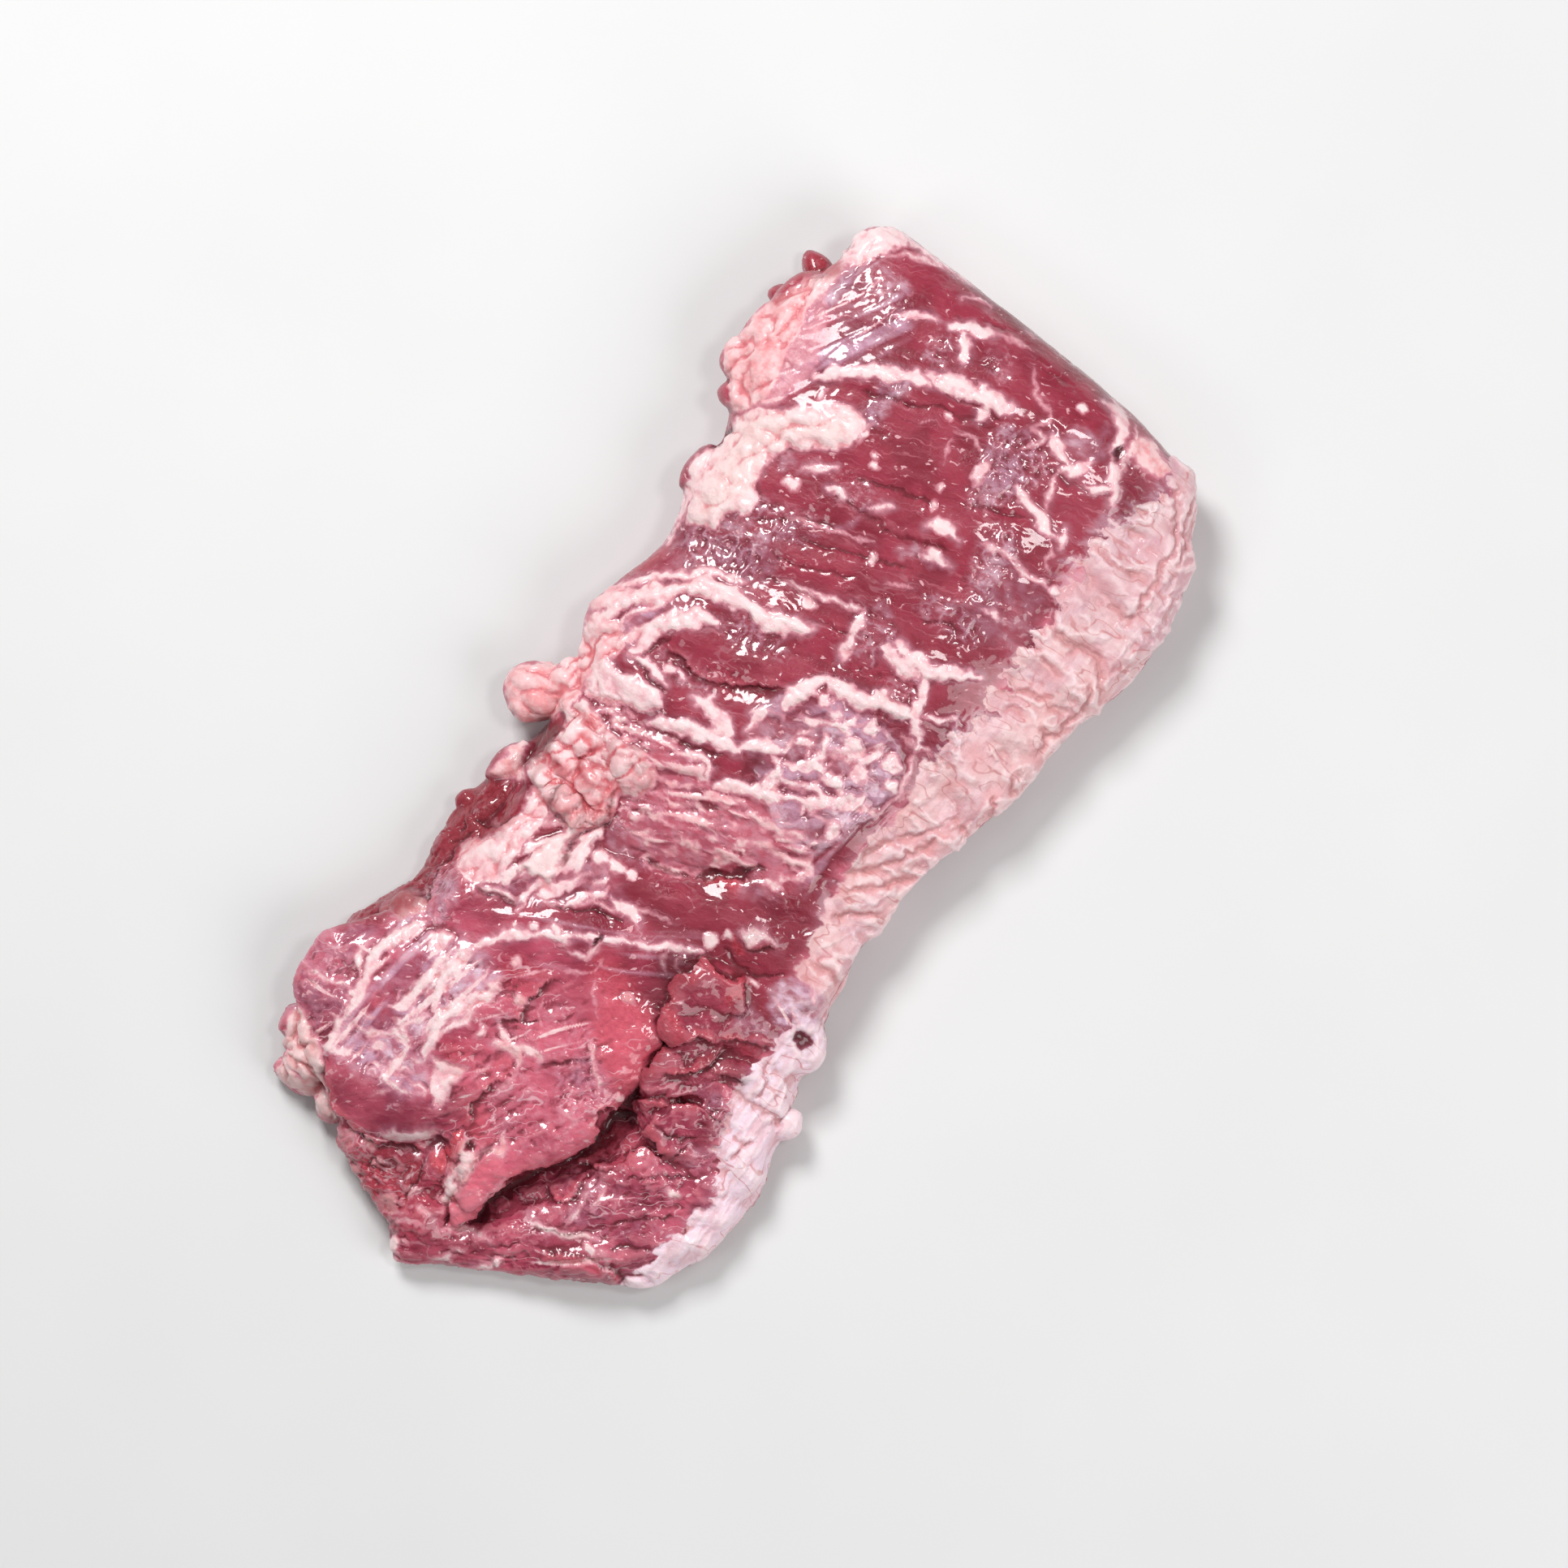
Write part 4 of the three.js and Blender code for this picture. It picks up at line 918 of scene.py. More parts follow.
# Darker areas: in the crevice and the narrow gap beside the main lobe this is painted shade; elsewhere it is
# the darker red of the meat.
DARK_AREAS = [
    (0.95, [(9, -151), (10, -138), (13, -131), (19, -122), (24, -115), (25, -103), (28, -97), (31, -97),
         (28, -106), (25, -115), (19, -125), (16, -133), (12.5, -146)]),
    (0.5, [(10, -49), (20, -44), (20, -66), (14, -60)]),
    (0.45, [(-35, -146), (-14, -143), (-12, -156), (-30, -152)]),
    (0.4, [(0, -160), (10, -156), (20, -156), (10, -167), (0, -170)]),
    (0.5, [(42, -61), (54, -66), (52, -70), (40, -70)]),
    (0.5, [(24, -72), (28, -72), (30, -88), (25, -96)]),
    (0.4, [(-20, -120), (-12, -116), (-10, -126), (-18, -128)]),
    (0.4, [(50, -80), (56, -84), (54, -92), (50, -90)]),
]
DARK_LINES = [
    (2.8, 1.4, [(21, -8), (17, -13), (13, -17), (8, -21), (4, -25)]),
    (1.6, 1.0, [(4, -25), (-4, -28), (-12, -28)]),
    (2.0, 1.0, [(-13, -142), (-12, -152), (-12, -160)]),
    (1.4, 0.8, [(-28, -57), (-15, -51), (-5, -46)]),
    (1.4, 0.8, [(-50, -66), (-40, -63), (-34, -61)]),
    (1.6, 0.9, [(-30, -14), (-30, -20), (-26, -26), (-30, -30)]),
    (1.6, 0.8, [(-33, -33), (-31, -40), (-31, -46)]),
    (1.6, 0.8, [(-45, -22), (-44, -29), (-40, -32)]),
    (1.4, 0.8, [(0, -98), (6, -92), (12, -88)]),
    (1.4, 0.7, [(-20, -96), (-12, -90), (-8, -86)]),
    (1.4, 0.7, [(36, -92), (44, -94), (52, -88)]),
    (1.4, 0.7, [(40, -112), (52, -104), (60, -98)]),
    (1.4, 0.7, [(44, -128), (54, -118), (62, -112)]),
    (1.4, 0.7, [(24, -142), (34, -138), (42, -132)]),
    (1.4, 0.7, [(48, -134), (56, -128), (62, -124)]),
    (1.2, 0.6, [(24, -36), (34, -39), (42, -34), (47, -32)]),
]
FLAPS = [
    (3.0, 14, [(37, -40), (34, -41), (32, -44), (26, -44), (22, -43), (21, -50), (19, -54), (21, -59),
         (21, -62), (22, -67), (28, -68.5), (31, -65.5), (35, -62.5), (40, -61)]),
    (0.8, 8, [(38, -61.5), (44, -57.5), (50, -54.5), (55, -55)]),
    (1.6, 7, [(41, -70), (47, -69), (53, -66.5), (56, -67)]),
    (2.6, 9, [(29, -68), (27, -71), (27.5, -76), (28, -82), (27, -88)]),
    (2.2, 6, [(30, -80), (37, -75), (40, -70), (42, -66), (41, -61)]),
    (2.8, 8, [(47, -77), (45.5, -81), (40, -84), (34, -87), (28, -92)]),
    (1.6, 7, [(56, -79), (53, -79), (48, -80)]),
    (1.6, 6, [(36, -90), (38, -97), (43, -99), (49, -98), (51, -92)]),
    (2.0, 12, [(52, -91), (50, -97), (44, -100), (38, -104), (36, -110)]),
    (2.0, 6, [(24, -117), (30, -116), (35, -113), (36, -110)]),
    (2.6, 9, [(4, -156), (8, -150), (9.5, -138), (11, -131), (16, -125), (22, -118), (24, -110), (22, -100),
         (25, -95), (26, -89), (24, -82), (26, -74), (22, -67)]),
    (1.6, 5, [(1, -126), (0, -136), (0, -145), (3, -155), (5, -157)]),
    (2.2, 9, [(-57, -135), (-52, -140), (-42, -146), (-30, -148), (-20, -142), (-14, -141)]),
    (1.6, 7, [(-51, -38), (-52, -46), (-57, -49), (-64, -48), (-65, -50)]),
    (1.6, 6, [(-58, -50), (-60, -60), (-59, -72), (-58, -80)]),
    (1.4, 6, [(-12, -92), (-16, -86), (-14, -78), (-11, -74)]),
    (1.4, 5, [(21, -128), (29, -130), (31, -124), (29, -118)]),
    (1.2, 5, [(-8, -128), (-11, -120), (-10, -112), (-6, -108)]),
    (1.2, 6, [(28, -30), (31, -32), (36, -29), (40, -28)]),
    (1.2, 6, [(60, -140), (50, -138), (40, -142), (30, -146)]),
]
# Bright red streaks of torn meat; the streak along the first flap's free edge is partly painted light on that
# edge.
BRIGHT_EDGES = [
    (4.0, 0.95, [(9, -21), (13, -18.5), (17, -19)]),
    (2.0, 0.8, [(25, -33), (30, -35)]),
    (4.0, 0.8, [(33, -42), (36, -45), (34, -48)]),
    (3.0, 0.8, [(21, -44), (20, -54), (22, -62), (28, -67)]),
    (3.0, 0.6, [(-44, -27), (-38, -24), (-31, -22)]),
    (2.4, 0.9, [(-46, -31), (-38, -29)]),
]
GLITTERS = [
    (1.0, [(-59, 65), (-50, 66), (-47, 71), (-41, 74), (-36, 82), (-31, 81), (-35, 71), (-33, 63),
         (-34, 58), (-40, 58), (-47, 60), (-52, 53), (-59, 56)]),
    (0.45, [(-55, 163), (-46, 163), (-39, 152), (-44, 141), (-53, 150)]),
    (0.9, [(-36, 136), (-28, 137), (-28, 120), (-34, 121)]),
    (1.0, [(2, 144), (12, 146), (24, 140), (22, 132), (14, 118), (6, 118), (3, 130)]),
    (0.9, [(18, 118), (30, 116), (31, 98), (20, 98)]),
    (0.7, [(-14, 163), (-4, 163), (-4, 154), (-14, 155)]),
    (0.8, [(-31, 156), (-22, 154), (-22, 147), (-30, 147)]),
    (0.7, [(-46, 84), (-28, 88), (-24, 80), (-36, 74), (-46, 76)]),
    (1.0, [(43, 62), (49, 61), (49, 43), (44, 42)]),
    (0.8, [(21, 66), (30, 66), (31, 57), (20, 58)]),
    (0.8, [(0, 60), (13, 60), (14, 72), (6, 78), (0, 74)]),
    (0.8, [(-56, 10), (-32, 6), (-30, 0), (-50, -3)]),
    (0.5, [(-44, 29), (-28, 31), (-22, 24), (-44, 21)]),
    (0.35, [(2, -6), (22, -8), (20, -20), (8, -18)]),
    (0.7, [(6, -86), (20, -92), (20, -106), (6, -104)]),
    (0.7, [(-62, -62), (-52, -68), (-52, -92), (-61, -92)]),
    (0.7, [(-46, -84), (-34, -84), (-32, -104), (-42, -106)]),
    (0.6, [(-26, 103), (-18, 106), (-16, 96), (-28, 96)]),
    (0.7, [(14, 90), (24, 92), (36, 86), (30, 80), (14, 82)]),
    (0.7, [(-34, 48), (-18, 52), (-10, 46), (-30, 41)]),
    (0.32, [(-20, -88), (-6, -76), (8, -82), (22, -92), (20, -112), (8, -128), (-6, -122), (-18, -112)]),
    (0.36, [(-80, -104), (-66, -98), (-60, -112), (-61, -128), (-76, -128)]),
    (0.3, [(-50, -84), (-36, -82), (-26, -90), (-30, -112), (-34, -130), (-54, -130), (-52, -104)]),
    (0.3, [(30, -104), (48, -98), (60, -108), (56, -128), (36, -144), (24, -148), (24, -126)]),
]
GLINTS = [
    (-52, 158, 5), (-42, 157, 3.5), (-44, 148, 4), (-29, 133, 5), (-32, 130, 4), (-30, 122, 4),
    (15, 153, 4), (8, 140, 6), (17, 142, 4), (21, 137, 4), (2, 138, 5), (12, 131, 5), (22, 115, 4),
    (26, 113, 4), (28, 103, 4), (20, 100, 4), (38, 100, 3), (4, 95, 4), (42, 123, 3), (11, 122, 4),
    (8, 120, 4), (27, 97, 4), (5, 75, 5), (4, 66, 4), (-10, 158, 6), (-38, 80, 4), (-46, 73, 5),
    (-38, 64, 6), (-48, 61, 5), (-55, 56, 4), (-38, 60, 4), (46, 57, 4), (46, 48, 4), (-28, 90, 4),
    (-34, 100, 3), (-26, 104, 3), (-27, 152, 5), (-24, -24, 5), (-57, -35, 4), (13, -95, 5), (28, -15, 5),
    (48, -77, 5), (10, 26, 6), (25, 25, 5), (15, 40, 5), (23, 48, 5), (31, 38, 4), (-10, -88, 4),
    (-48, 4, 5), (-12, 8, 5), (-30, 18, 2.5), (-36, 25, 2), (24, 62, 4), (8, 57, 5), (16, 60, 4),
    (32, 86, 4), (15, 85, 5), (-28, 46, 5), (-20, 50, 4), (-22, 30, 5), (-8, 88, 4), (40, -112, 5),
    (12, -66, 4), (-40, -98, 5), (-60, -118, 4), (-72, -118, 3), (34, -128, 5), (-26, -154, 4), (0, -6, 5),
    (6, 48, 3), (-2, 62, 4), (-45, 45, 5), (48, 66, 3), (45, 62, 3), (40, -78, 3), (36, -110, 4),
    (52, -110, 5),
]


def carve_band(skin):
    """The pale skin of the right-hand side: soft folds, wrinkles at its rim and torn fingers at its edge."""
    path = curved(BAND, closed=True)
    at = np.flatnonzero(skin.place[:, 0] > BAND_START)
    x, y, place = skin.x[at], skin.y[at], skin.place[at]
    depth = inside_distance(x, y, path)
    reach = 1.2 + 4.5 * ease(y, 45, 75) + 2.0 * ease(y, -20, -50)
    fingers = reach * rough(skin.grain[at], (16, 3.0, 7), 45, 3) + 2.0 * unevenness(place, 7, 47)
    depth = depth + fingers * ease(depth, 12, 4)
    skin.cover("band", at, depth * 0.8)
    skin.wash("film", at, depth + 1.5, 0.35 + 0.4 * ease(y, 80, 130), 4)
    over = ease(depth, -1, 5)
    skin.push(at, over * 2.0 * unevenness(place, (20, 10, 10), 48))
    skin.push(at, over * 0.3 * billowed(place, (10, 8, 8), 49, 1))
    along, across = turned(x, y, 8)
    crinkle = ridged(np.c_[along, across, place[:, 2]], (22, 7, 9), 55, 2) - 0.4
    skin.push(at, over * 0.9 * crinkle * ease(unevenness(place, 15, 56), -0.5, 0.2) * ease(y, -45, 0))
    cords = ridged(np.c_[x, y, place[:, 2]], (4.5, 34, 9), 57, 1) - 0.4
    skin.push(at, over * 0.4 * cords * ease(y, -40, -60))
    rim = ease(x - 62 - 8 * ease(y, 60, 140) + 10 * ease(y, -20, -60), -4, 4)
    patchy = 0.3 + 0.7 * ease(unevenness(place, 18, 50), -0.3, 0.4)
    wrinkles = ridged(np.c_[x, y, place[:, 2]], (4.2, 22, 8), 41)
    skin.push(at, over * rim * patchy * 0.7 * (wrinkles - 0.4))
    along, across = turned(x, y, 57)
    fan = ease(np.abs(y - 5), 45, 20)
    spread = ridged(np.c_[along, across, place[:, 2]], (26, 5.5, 9), 51) - 0.4
    skin.push(at, over * fan * patchy * 0.8 * spread)
    skin.push(at, over * 0.08 * rough(place, (2.6, 4.5, 3), 53, 2))
    for width, points in BAND_CREASES:
        # Painted shade in each crease's bottom, and a salmon streak along it as painted shade of the fold.
        skin.crease(points, width * 1.2, 1.2, 0.16)
        skin.streak(points, width * 3.0, "salmon", 0.8)
    for points in BAND_GREYS:
        skin.stain(points, "film", 0.85, 4)
    for points in BAND_SALMONS:
        skin.stain(points, "salmon", 0.7, 4)
    skin.stain(BAND_WHITE, "cream", 1.0, 5)


def carve_upper(skin):
    """The thick end: seams, the cream patch and the lumps on its left edge."""
    skin.stain(STREAKY_ROOT, "fat", 0.5, 3)
    skin.stain(STREAKY_ROOT, "salmon", 0.3, 3)
    skin.stain(STREAKY_SHEET, "film", 0.25, 4)
    skin.stain(STREAKY_ROOT, "dull", 0.7, 4)
    # Painted shade along the fold's rounded far rim.
    skin.stain(FOLD_RIM, "dark", 0.28, 3)
    skin.strands(STREAKY_SHEET, (50, 3.0), lean=62, share=0.4, strength=0.9, kind=1)
    skin.strands(STREAKY_SHEET, (44, 1.7), lean=60, share=0.2, height=0.35, mark="fat", strength=0.8, kind=3)
    skin.seam(LILAC_FOLD, 4.0, -0.8, "film")
    skin.patch(CORNER_LUMP, 1.0)
    skin.seam(CORNER_BAND, 5.0, 0.8)
    skin.folds(PINK_LUMPS, (15, 7.0), lean=78, height=2.0, kind=1, red=0.3)
    skin.stain(PINK_LUMPS, "salmon", 0.9, 4)
    skin.patch(CREAM_PATCH, 0.8, edge=2.5)
    skin.folds(CREAM_PATCH, (16, 7), lean=50, height=0.8, kind=2, salmon=0.25, red=0.0)
    skin.stain(CREAM_HEART, "cream", 1.0, 4)
    skin.patch(SALMON_PATCH, 0.5, strength=0.9)
    skin.stain(SALMON_PATCH, "salmon", 0.8, 2)
    skin.stain(DARK_TRIANGLE, "dark", 0.35, 2)
    for strength, points in UPPER_FILMS:
        skin.stain(points, "film", strength, 1.5)
    for points in RED_CHUNKS:
        skin.stain(points, "blood", 0.9, 2)
        skin.stain(points, "dark", 0.35, 2)
    for width, height, points in UPPER_SEAMS:
        skin.seam(points, width, height)
    for centre, radius in UPPER_BEADS:
        skin.bead(centre, radius, 0.5)
    for points in UPPER_CREASES:
        skin.crease(points, 1.5, 0.6, 0.3)
    skin.hole((-65, 92), (1.8, 4.5), 1.5)
    skin.hole((37, 156), (1.5, 2.4), 1.0)
    skin.hole((-67.5, 162), (1.6, 1.6), 1.0, 0.7)


def carve_middle(skin):
    """The narrow waist: thick seams over dark muscle, and mottled film."""
    skin.flap(MUSCLE_EDGE, 1.5, 8, 0.1, 0.55)
    skin.stain(OUTER_STRIP, "blood", 0.5, 3)
    skin.stain(MOTTLED_FILM, "film", 0.55, 6)
    skin.islands(MOTTLED_FILM, (15, 7), lean=40, share=0.55, height=0.5, mark="film", kind=5)
    skin.islands(MOTTLED_FILM, (11, 5), lean=24, share=0.3, height=0.5, strength=0.76, kind=6)
    skin.islands(MOTTLED_FILM, (8, 4), lean=70, share=0.14, height=0.7, strength=0.9, kind=8)
    skin.strands(STREAKED_SIDE, (30, 3.4), lean=84, share=0.3, height=0.5, mark="dark", strength=0.3, kind=45)
    skin.glitter(MOTTLED_FILM, 0.4, 3)
    skin.stain(WRINKLED_FILM, "film", 0.45, 3)
    skin.stain(FILM_BLOB, "film", 1.0, 2)
    skin.strands(STREAKED_SIDE, (30, 2.8), lean=83, share=0.4, height=0.5, strength=0.6, kind=7, fade=6.0)
    skin.stain(WAIST_TISSUE, "film", 0.35, 4)
    skin.stain(WAIST_TISSUE, "blood", 0.25, 4)
    skin.stain(WAIST_TISSUE, "salmon", 0.35, 4)
    skin.strands(WAIST_TISSUE, (24, 3.0), lean=19, share=0.38, height=0.6, mark="fat", strength=0.76, kind=9)
    skin.strands(WAIST_TISSUE, (20, 3.2), 22, share=0.26, height=-0.4, mark="dark", strength=0.34, kind=49)
    skin.islands(WAIST_TISSUE, (6, 3.0), lean=24, share=0.26, height=0.6, strength=0.9, kind=10)
    skin.stain(WET_SLOPE, "dull", 1.1, 3)
    skin.stain(SWEPT_FAT, "film", 0.5, 3)
    for width, height, points in SWEPT_SEAMS:
        skin.seam(points, width, height)
    skin.folds(SALMON_SIDE, (13, 6), lean=75, height=1.6, kind=8, salmon=1.0, red=0.5)
    skin.stain(SALMON_SIDE, "salmon", 0.6, 3)
    skin.stain(SWEPT_FAT, "salmon", 0.2, 3)
    skin.patch(WIDE_FAT, 1.1)
    skin.seam(PALE_RIM, 3.0, 0.3)
    for width, height, points in MIDDLE_SEAMS:
        skin.seam(points, width, height)
    for centre, radius in MIDDLE_BEADS:
        skin.bead(centre, radius, 0.6)
    skin.hole((0, 14), (4, 4), 0.6, 0.35)
    for width, depth, dark, points in MIDDLE_CREASES:
        skin.crease(points, width, depth, dark)


def carve_fat_mass(skin):
    """The ball and the lumps of fat at the waist, and the column and pad of fat below them."""
    skin.folds(FAT_BALL, (13, 7), lean=25, height=1.2, kind=6, red=0.2)
    skin.stain(FAT_BALL, "salmon", 1.0, 4)
    skin.islands(PALE_TISSUE, (9, 2.8), lean=62, share=0.46, height=0.6, strength=0.9, kind=13)
    skin.lobes(FAT_MASS, 11.0, 1.6, seed=19, gap_red_and_shade=0.7)
    skin.folds(FAT_MASS, (11, 7.5), lean=60, height=1.5, kind=3, salmon=1.0, red=0.7)
    for index, (size, points) in enumerate(FAT_LUMPS):
        lean = 40 + 60 * index
        skin.folds(points, (9, size), lean, height=1.0, kind=4 + index, salmon=0.6, red=0.3)
    for width, depth, points in MASS_GAPS:
        # Each gap gets painted shade in its bottom and a streak of bright red meat.
        skin.crease(points, width, depth, 0.3)
        skin.streak(points, width * 1.6, "blood", 0.95)
    skin.patch(SIDE_FAT, 0.7)
    skin.stain(SIDE_FAT, "salmon", 1.0, 2)
    skin.lobes(REDDISH_LUMPS, 4.0, 1.4, seed=31, gap_red_and_shade=1.0)
    skin.stain(REDDISH_LUMPS, "blood", 0.5, 3)
    skin.folds(FAT_COLUMN, (13, 5.0), lean=74, height=0.9, kind=7, salmon=0.6, red=0.15)
    skin.patch(CREAM_PAD, 1.5)
    skin.stain(CREAM_PAD, "cream", 0.6, 2)


def lay_webs(skin):
    """The thin end's red edge, its films, and the webs of fat and film that lie over its muscles."""
    # A hollow of bright red meat, darkened as painted shade.
    skin.stain(RED_HOLLOW, "dark", 0.75, 2)
    skin.stain(RED_HOLLOW, "blood", 0.8, 2)
    skin.stain(RED_SIDE, "blood", 0.9, 3)
    skin.stain(RED_SIDE, "dark", 0.55, 3)
    skin.stain(LOWER_LAYER, "dark", 0.2, 3)
    skin.stain(LOWER_LAYER, "blood", 0.8, 3)
    skin.stain(GREY_MEMBRANE, "film", 0.5, 4)
    skin.strands(RED_FOLDS, (24, 3.0), lean=86, share=0.3, height=0.8, mark="fat", strength=0.5, kind=29)
    skin.stain(COLUMN_WEB, "film", 0.25, 4)
    skin.strands(COLUMN_WEB, (40, 3.6), lean=84, share=0.5, height=0.35, kind=17)
    skin.strands(COLUMN_WEB, (30, 2.2), lean=80, share=0.22, height=0.35, mark="fat", strength=0.8, kind=15)
    skin.stain(BROAD_WHITE, "film", 1.3, 3)
    skin.stain(WHITISH_FILM, "film", 1.1, 3)
    skin.islands(BROAD_WHITE, (14, 4.5), lean=70, share=0.36, height=0.3, strength=0.78, kind=51)
    skin.strands(BROAD_WHITE, (26, 2.2), lean=76, share=0.34, height=0.4, mark="fat", strength=0.8, kind=31)
    skin.islands(WHITISH_FILM, (7, 3.0), lean=10, share=0.34, height=0.3, strength=0.78, kind=33)
    skin.strands(LOBE_WEB, (30, 2.2), lean=52, share=0.14, height=0.2, mark="fat", strength=0.78, kind=19)
    skin.strands(LOBE_WEB, (26, 2.4), lean=60, share=0.34, height=0.35, mark="salmon", strength=0.5, kind=43)
    skin.strands(TONGUE_SIDE, (36, 2.4), lean=74, share=0.4, height=0.5, strength=0.22, kind=35)
    skin.strands(RIGHT_WEB, (36, 3.0), lean=38, share=0.10, height=0.2, mark="fat", strength=0.72, kind=21)
    skin.islands(TIP_WEB, (8, 3.0), lean=20, share=0.2, height=0.3, strength=0.75, kind=23)
    skin.islands(LOWER_LAYER, (4, 3), lean=30, share=0.26, height=0.5, strength=0.85, kind=37)
    skin.stain(LEFT_LOBE, "film", 0.4, 4)
    skin.strands(LEFT_WEB, (24, 2.4), lean=66, share=0.18, height=0.35, mark="fat", strength=0.8, kind=25)
    skin.strands(LEFT_WEB, (20, 2.4), lean=8, share=0.16, height=0.35, mark="fat", strength=0.8, kind=39)
    skin.strands(DIAGONAL_WEB, (40, 2.6), lean=30, share=0.2, height=0.25, strength=0.4, kind=27)
    skin.stain(SILVER_PATCH, "film", 1.2, 1.5)
    skin.strands(SILVER_PATCH, (20, 2.2), -28, share=0.36, mark="fat", strength=0.74, kind=41, fade=2.0)
    for strength, points in LILAC_FILMS:
        skin.stain(points, "film", strength, 2.5)


def shape_muscles(skin):
    """The thin end's smooth muscles, the small pads on them, and the lobes of fat under their edge."""
    for share, points in SMOOTH_MUSCLES:
        skin.quieten(points, share)
    skin.patch(TAN_PATCH, 0.8)
    skin.stain(TAN_PATCH, "salmon", 0.8, 2)
    skin.patch(WHITE_TAB, 0.8)
    skin.patch(PALE_PATCH, 0.6, strength=0.9)
    for index, points in enumerate(FAT_LOBES):
        skin.lobes(points, 7.0, 1.9, seed=51 + index, gap_red_and_shade=0.35)
        skin.stain(points, "salmon", 0.6, 2)
        skin.stain(points, "cream", 1.0, 2)
    skin.stain(PURPLE_MUSCLE, "dark", 0.24, 3)
    skin.fade_mark("band", SILVER_PATCH, 0.5)
    for name in ("fat", "film"):
        skin.fade_mark(name, CLEAR_MUSCLE, 0.2)
        skin.fade_mark(name, MAROON_MUSCLE, 0.25)
        skin.fade_mark(name, PURPLE_MUSCLE, 0.2)
    skin.stain(MAROON_MUSCLE, "dark", 0.2, 3)
    skin.patch(FILM_LEAF, 0.6, strength=0.8)
    skin.stain(RED_TONGUE, "salmon", 1.0, 2)
    skin.stain(MAIN_LOBE, "salmon", 0.45, 5)
    # Painted shade deep in the crevice under the upper layer's edge.
    skin.crease(CREVICE, 5.0, 1.6, 1.0)


def tear_thin_end(skin):
    """Bright and dark areas, seams, torn flaps, the chunks at the tongue's root, and small holes."""
    for strength, points in BRIGHT_AREAS:
        skin.stain(points, "blood", strength, 4)
    # Dark areas: painted shade in the crevice and narrow gap, the darker red of the meat elsewhere.
    for strength, points in DARK_AREAS:
        skin.stain(points, "dark", strength, 2.5)
    for width, height, points in LOWER_SEAMS:
        skin.seam(points, width, height)
    for centre, radius in LOWER_BEADS:
        skin.bead(centre, radius, 0.7)
    # Dark lines: creases with painted shade in their bottoms.
    for width, depth, points in DARK_LINES:
        skin.crease(points, width, depth, 0.85)
    for height, reach, points in FLAPS:
        skin.flap(points, height, reach)
    skin.patch(RED_CHUNK, 1.2, mark="blood")
    for name in ("dark", "salmon", "fat", "film"):
        skin.fade_mark(name, RED_CHUNK, 0.15, 1.0)
    skin.stain(RED_CHUNK, "blood", 1.25, 1.5)
    skin.fade_mark("dark", TONGUE_FAT, 0.15, 1.0)
    skin.islands(TONGUE_FAT, (5, 3.4), lean=80, share=0.7, height=0.8, kind=47, fade=1.0)
    for width, strength, points in BRIGHT_EDGES:
        skin.streak(points, width, "blood", strength)
    skin.hole((61, -46.5), (4, 2.6), 1.6, 0.8)
    skin.hole((-8.5, -57), (0.8, 2.6), 1.0)
    skin.hole((-4, -131), (1.2, 2), 0.8)


def carve_meat(skin):
    """Fibres, bundles, small furrows, and at the thin end torn layers like flat steps."""
    bare = (1 - ease(skin.marks["fat"], 0.4, 0.7)) * (1 - ease(skin.marks["band"], 0.4, 0.8))
    torn = ease(skin.y, -35, -75) * (1 - skin.calm)
    torn = np.maximum(torn, ease(skin.x, -56, -62) * ease(skin.y, -20, -40) * (1 - skin.calm))
    bundles = unevenness(skin.grain, (34, 6.0, 9), 61)
    fibres = ridged(skin.grain, (16, 2.2, 5), 65)
    furrows = ease(unevenness(skin.grain, (30, 4.6, 8), 71), -0.45, -0.8)
    layers = rough(skin.grain, (26, 9, 9), 75, 2) * 3.2
    steps = np.floor(layers) + ease(layers - np.floor(layers), 0.4, 0.6)
    skin.lift += bare * (0.38 * bundles + 0.10 * fibres - 0.4 * furrows)
    skin.lift += bare * torn * (0.55 * steps + 0.12 * rough(skin.grain, (7, 2.2, 3), 79, 2))
    # Painted shade in the furrows between bundles.
    skin.marks["dark"] = np.maximum(skin.marks["dark"], 0.25 * furrows * bare)


def carve_fat(skin):
    """Soft folds and fine wrinkles of whatever is fat."""
    fat = ease(skin.marks["fat"], 0.35, 0.75)
    folds = billowed(skin.place, (9, 6, 7), 81, 1)
    skin.lift += fat * (0.45 * folds + 0.12 * rough(skin.place, 2.6, 85, 2) - 0.3)


def wet_film(skin):
    """Places where a thin wet film wrinkles and glitters."""
    wet = np.zeros(len(skin.x))
    for cx, cy, radius in GLINTS:
        far = np.hypot(skin.x - cx, skin.y - cy)
        wet = np.maximum(wet, np.exp(-((far / radius) ** 2)))
    scattered = ease(rough(skin.place, (11, 9, 9), 97, 2), 0.2, 0.75)
    wet = np.maximum(wet, scattered * (0.85 - 0.4 * ease(skin.y, -40, -80)))
    wet *= skin.upward
    for index, (strength, points) in enumerate(GLITTERS):
        skin.glitter(points, strength, index % 5)
    skin.marks["wet"] = np.maximum(skin.marks["wet"], wet)
    skin.lift += wet * 0.4 * (ridged(skin.place, (3.0, 3.6, 3), 91, 1) - 0.5)


ROSY_FROM, ROSY_FULL = -40, -90


def tone_meat(skin):
    """The thin end is paler and rosier than the thick end."""
    skin.marks["rosy"] = ease(skin.y + 14 * rough(skin.place, 22, 95, 2), ROSY_FROM, ROSY_FULL) * skin.upward
    skin.marks["under"] = ease(-skin.facing[:, 2], 0.1, 0.55)


RELIEF_REACH = 14
RELIEF_DEPTH = 0.55


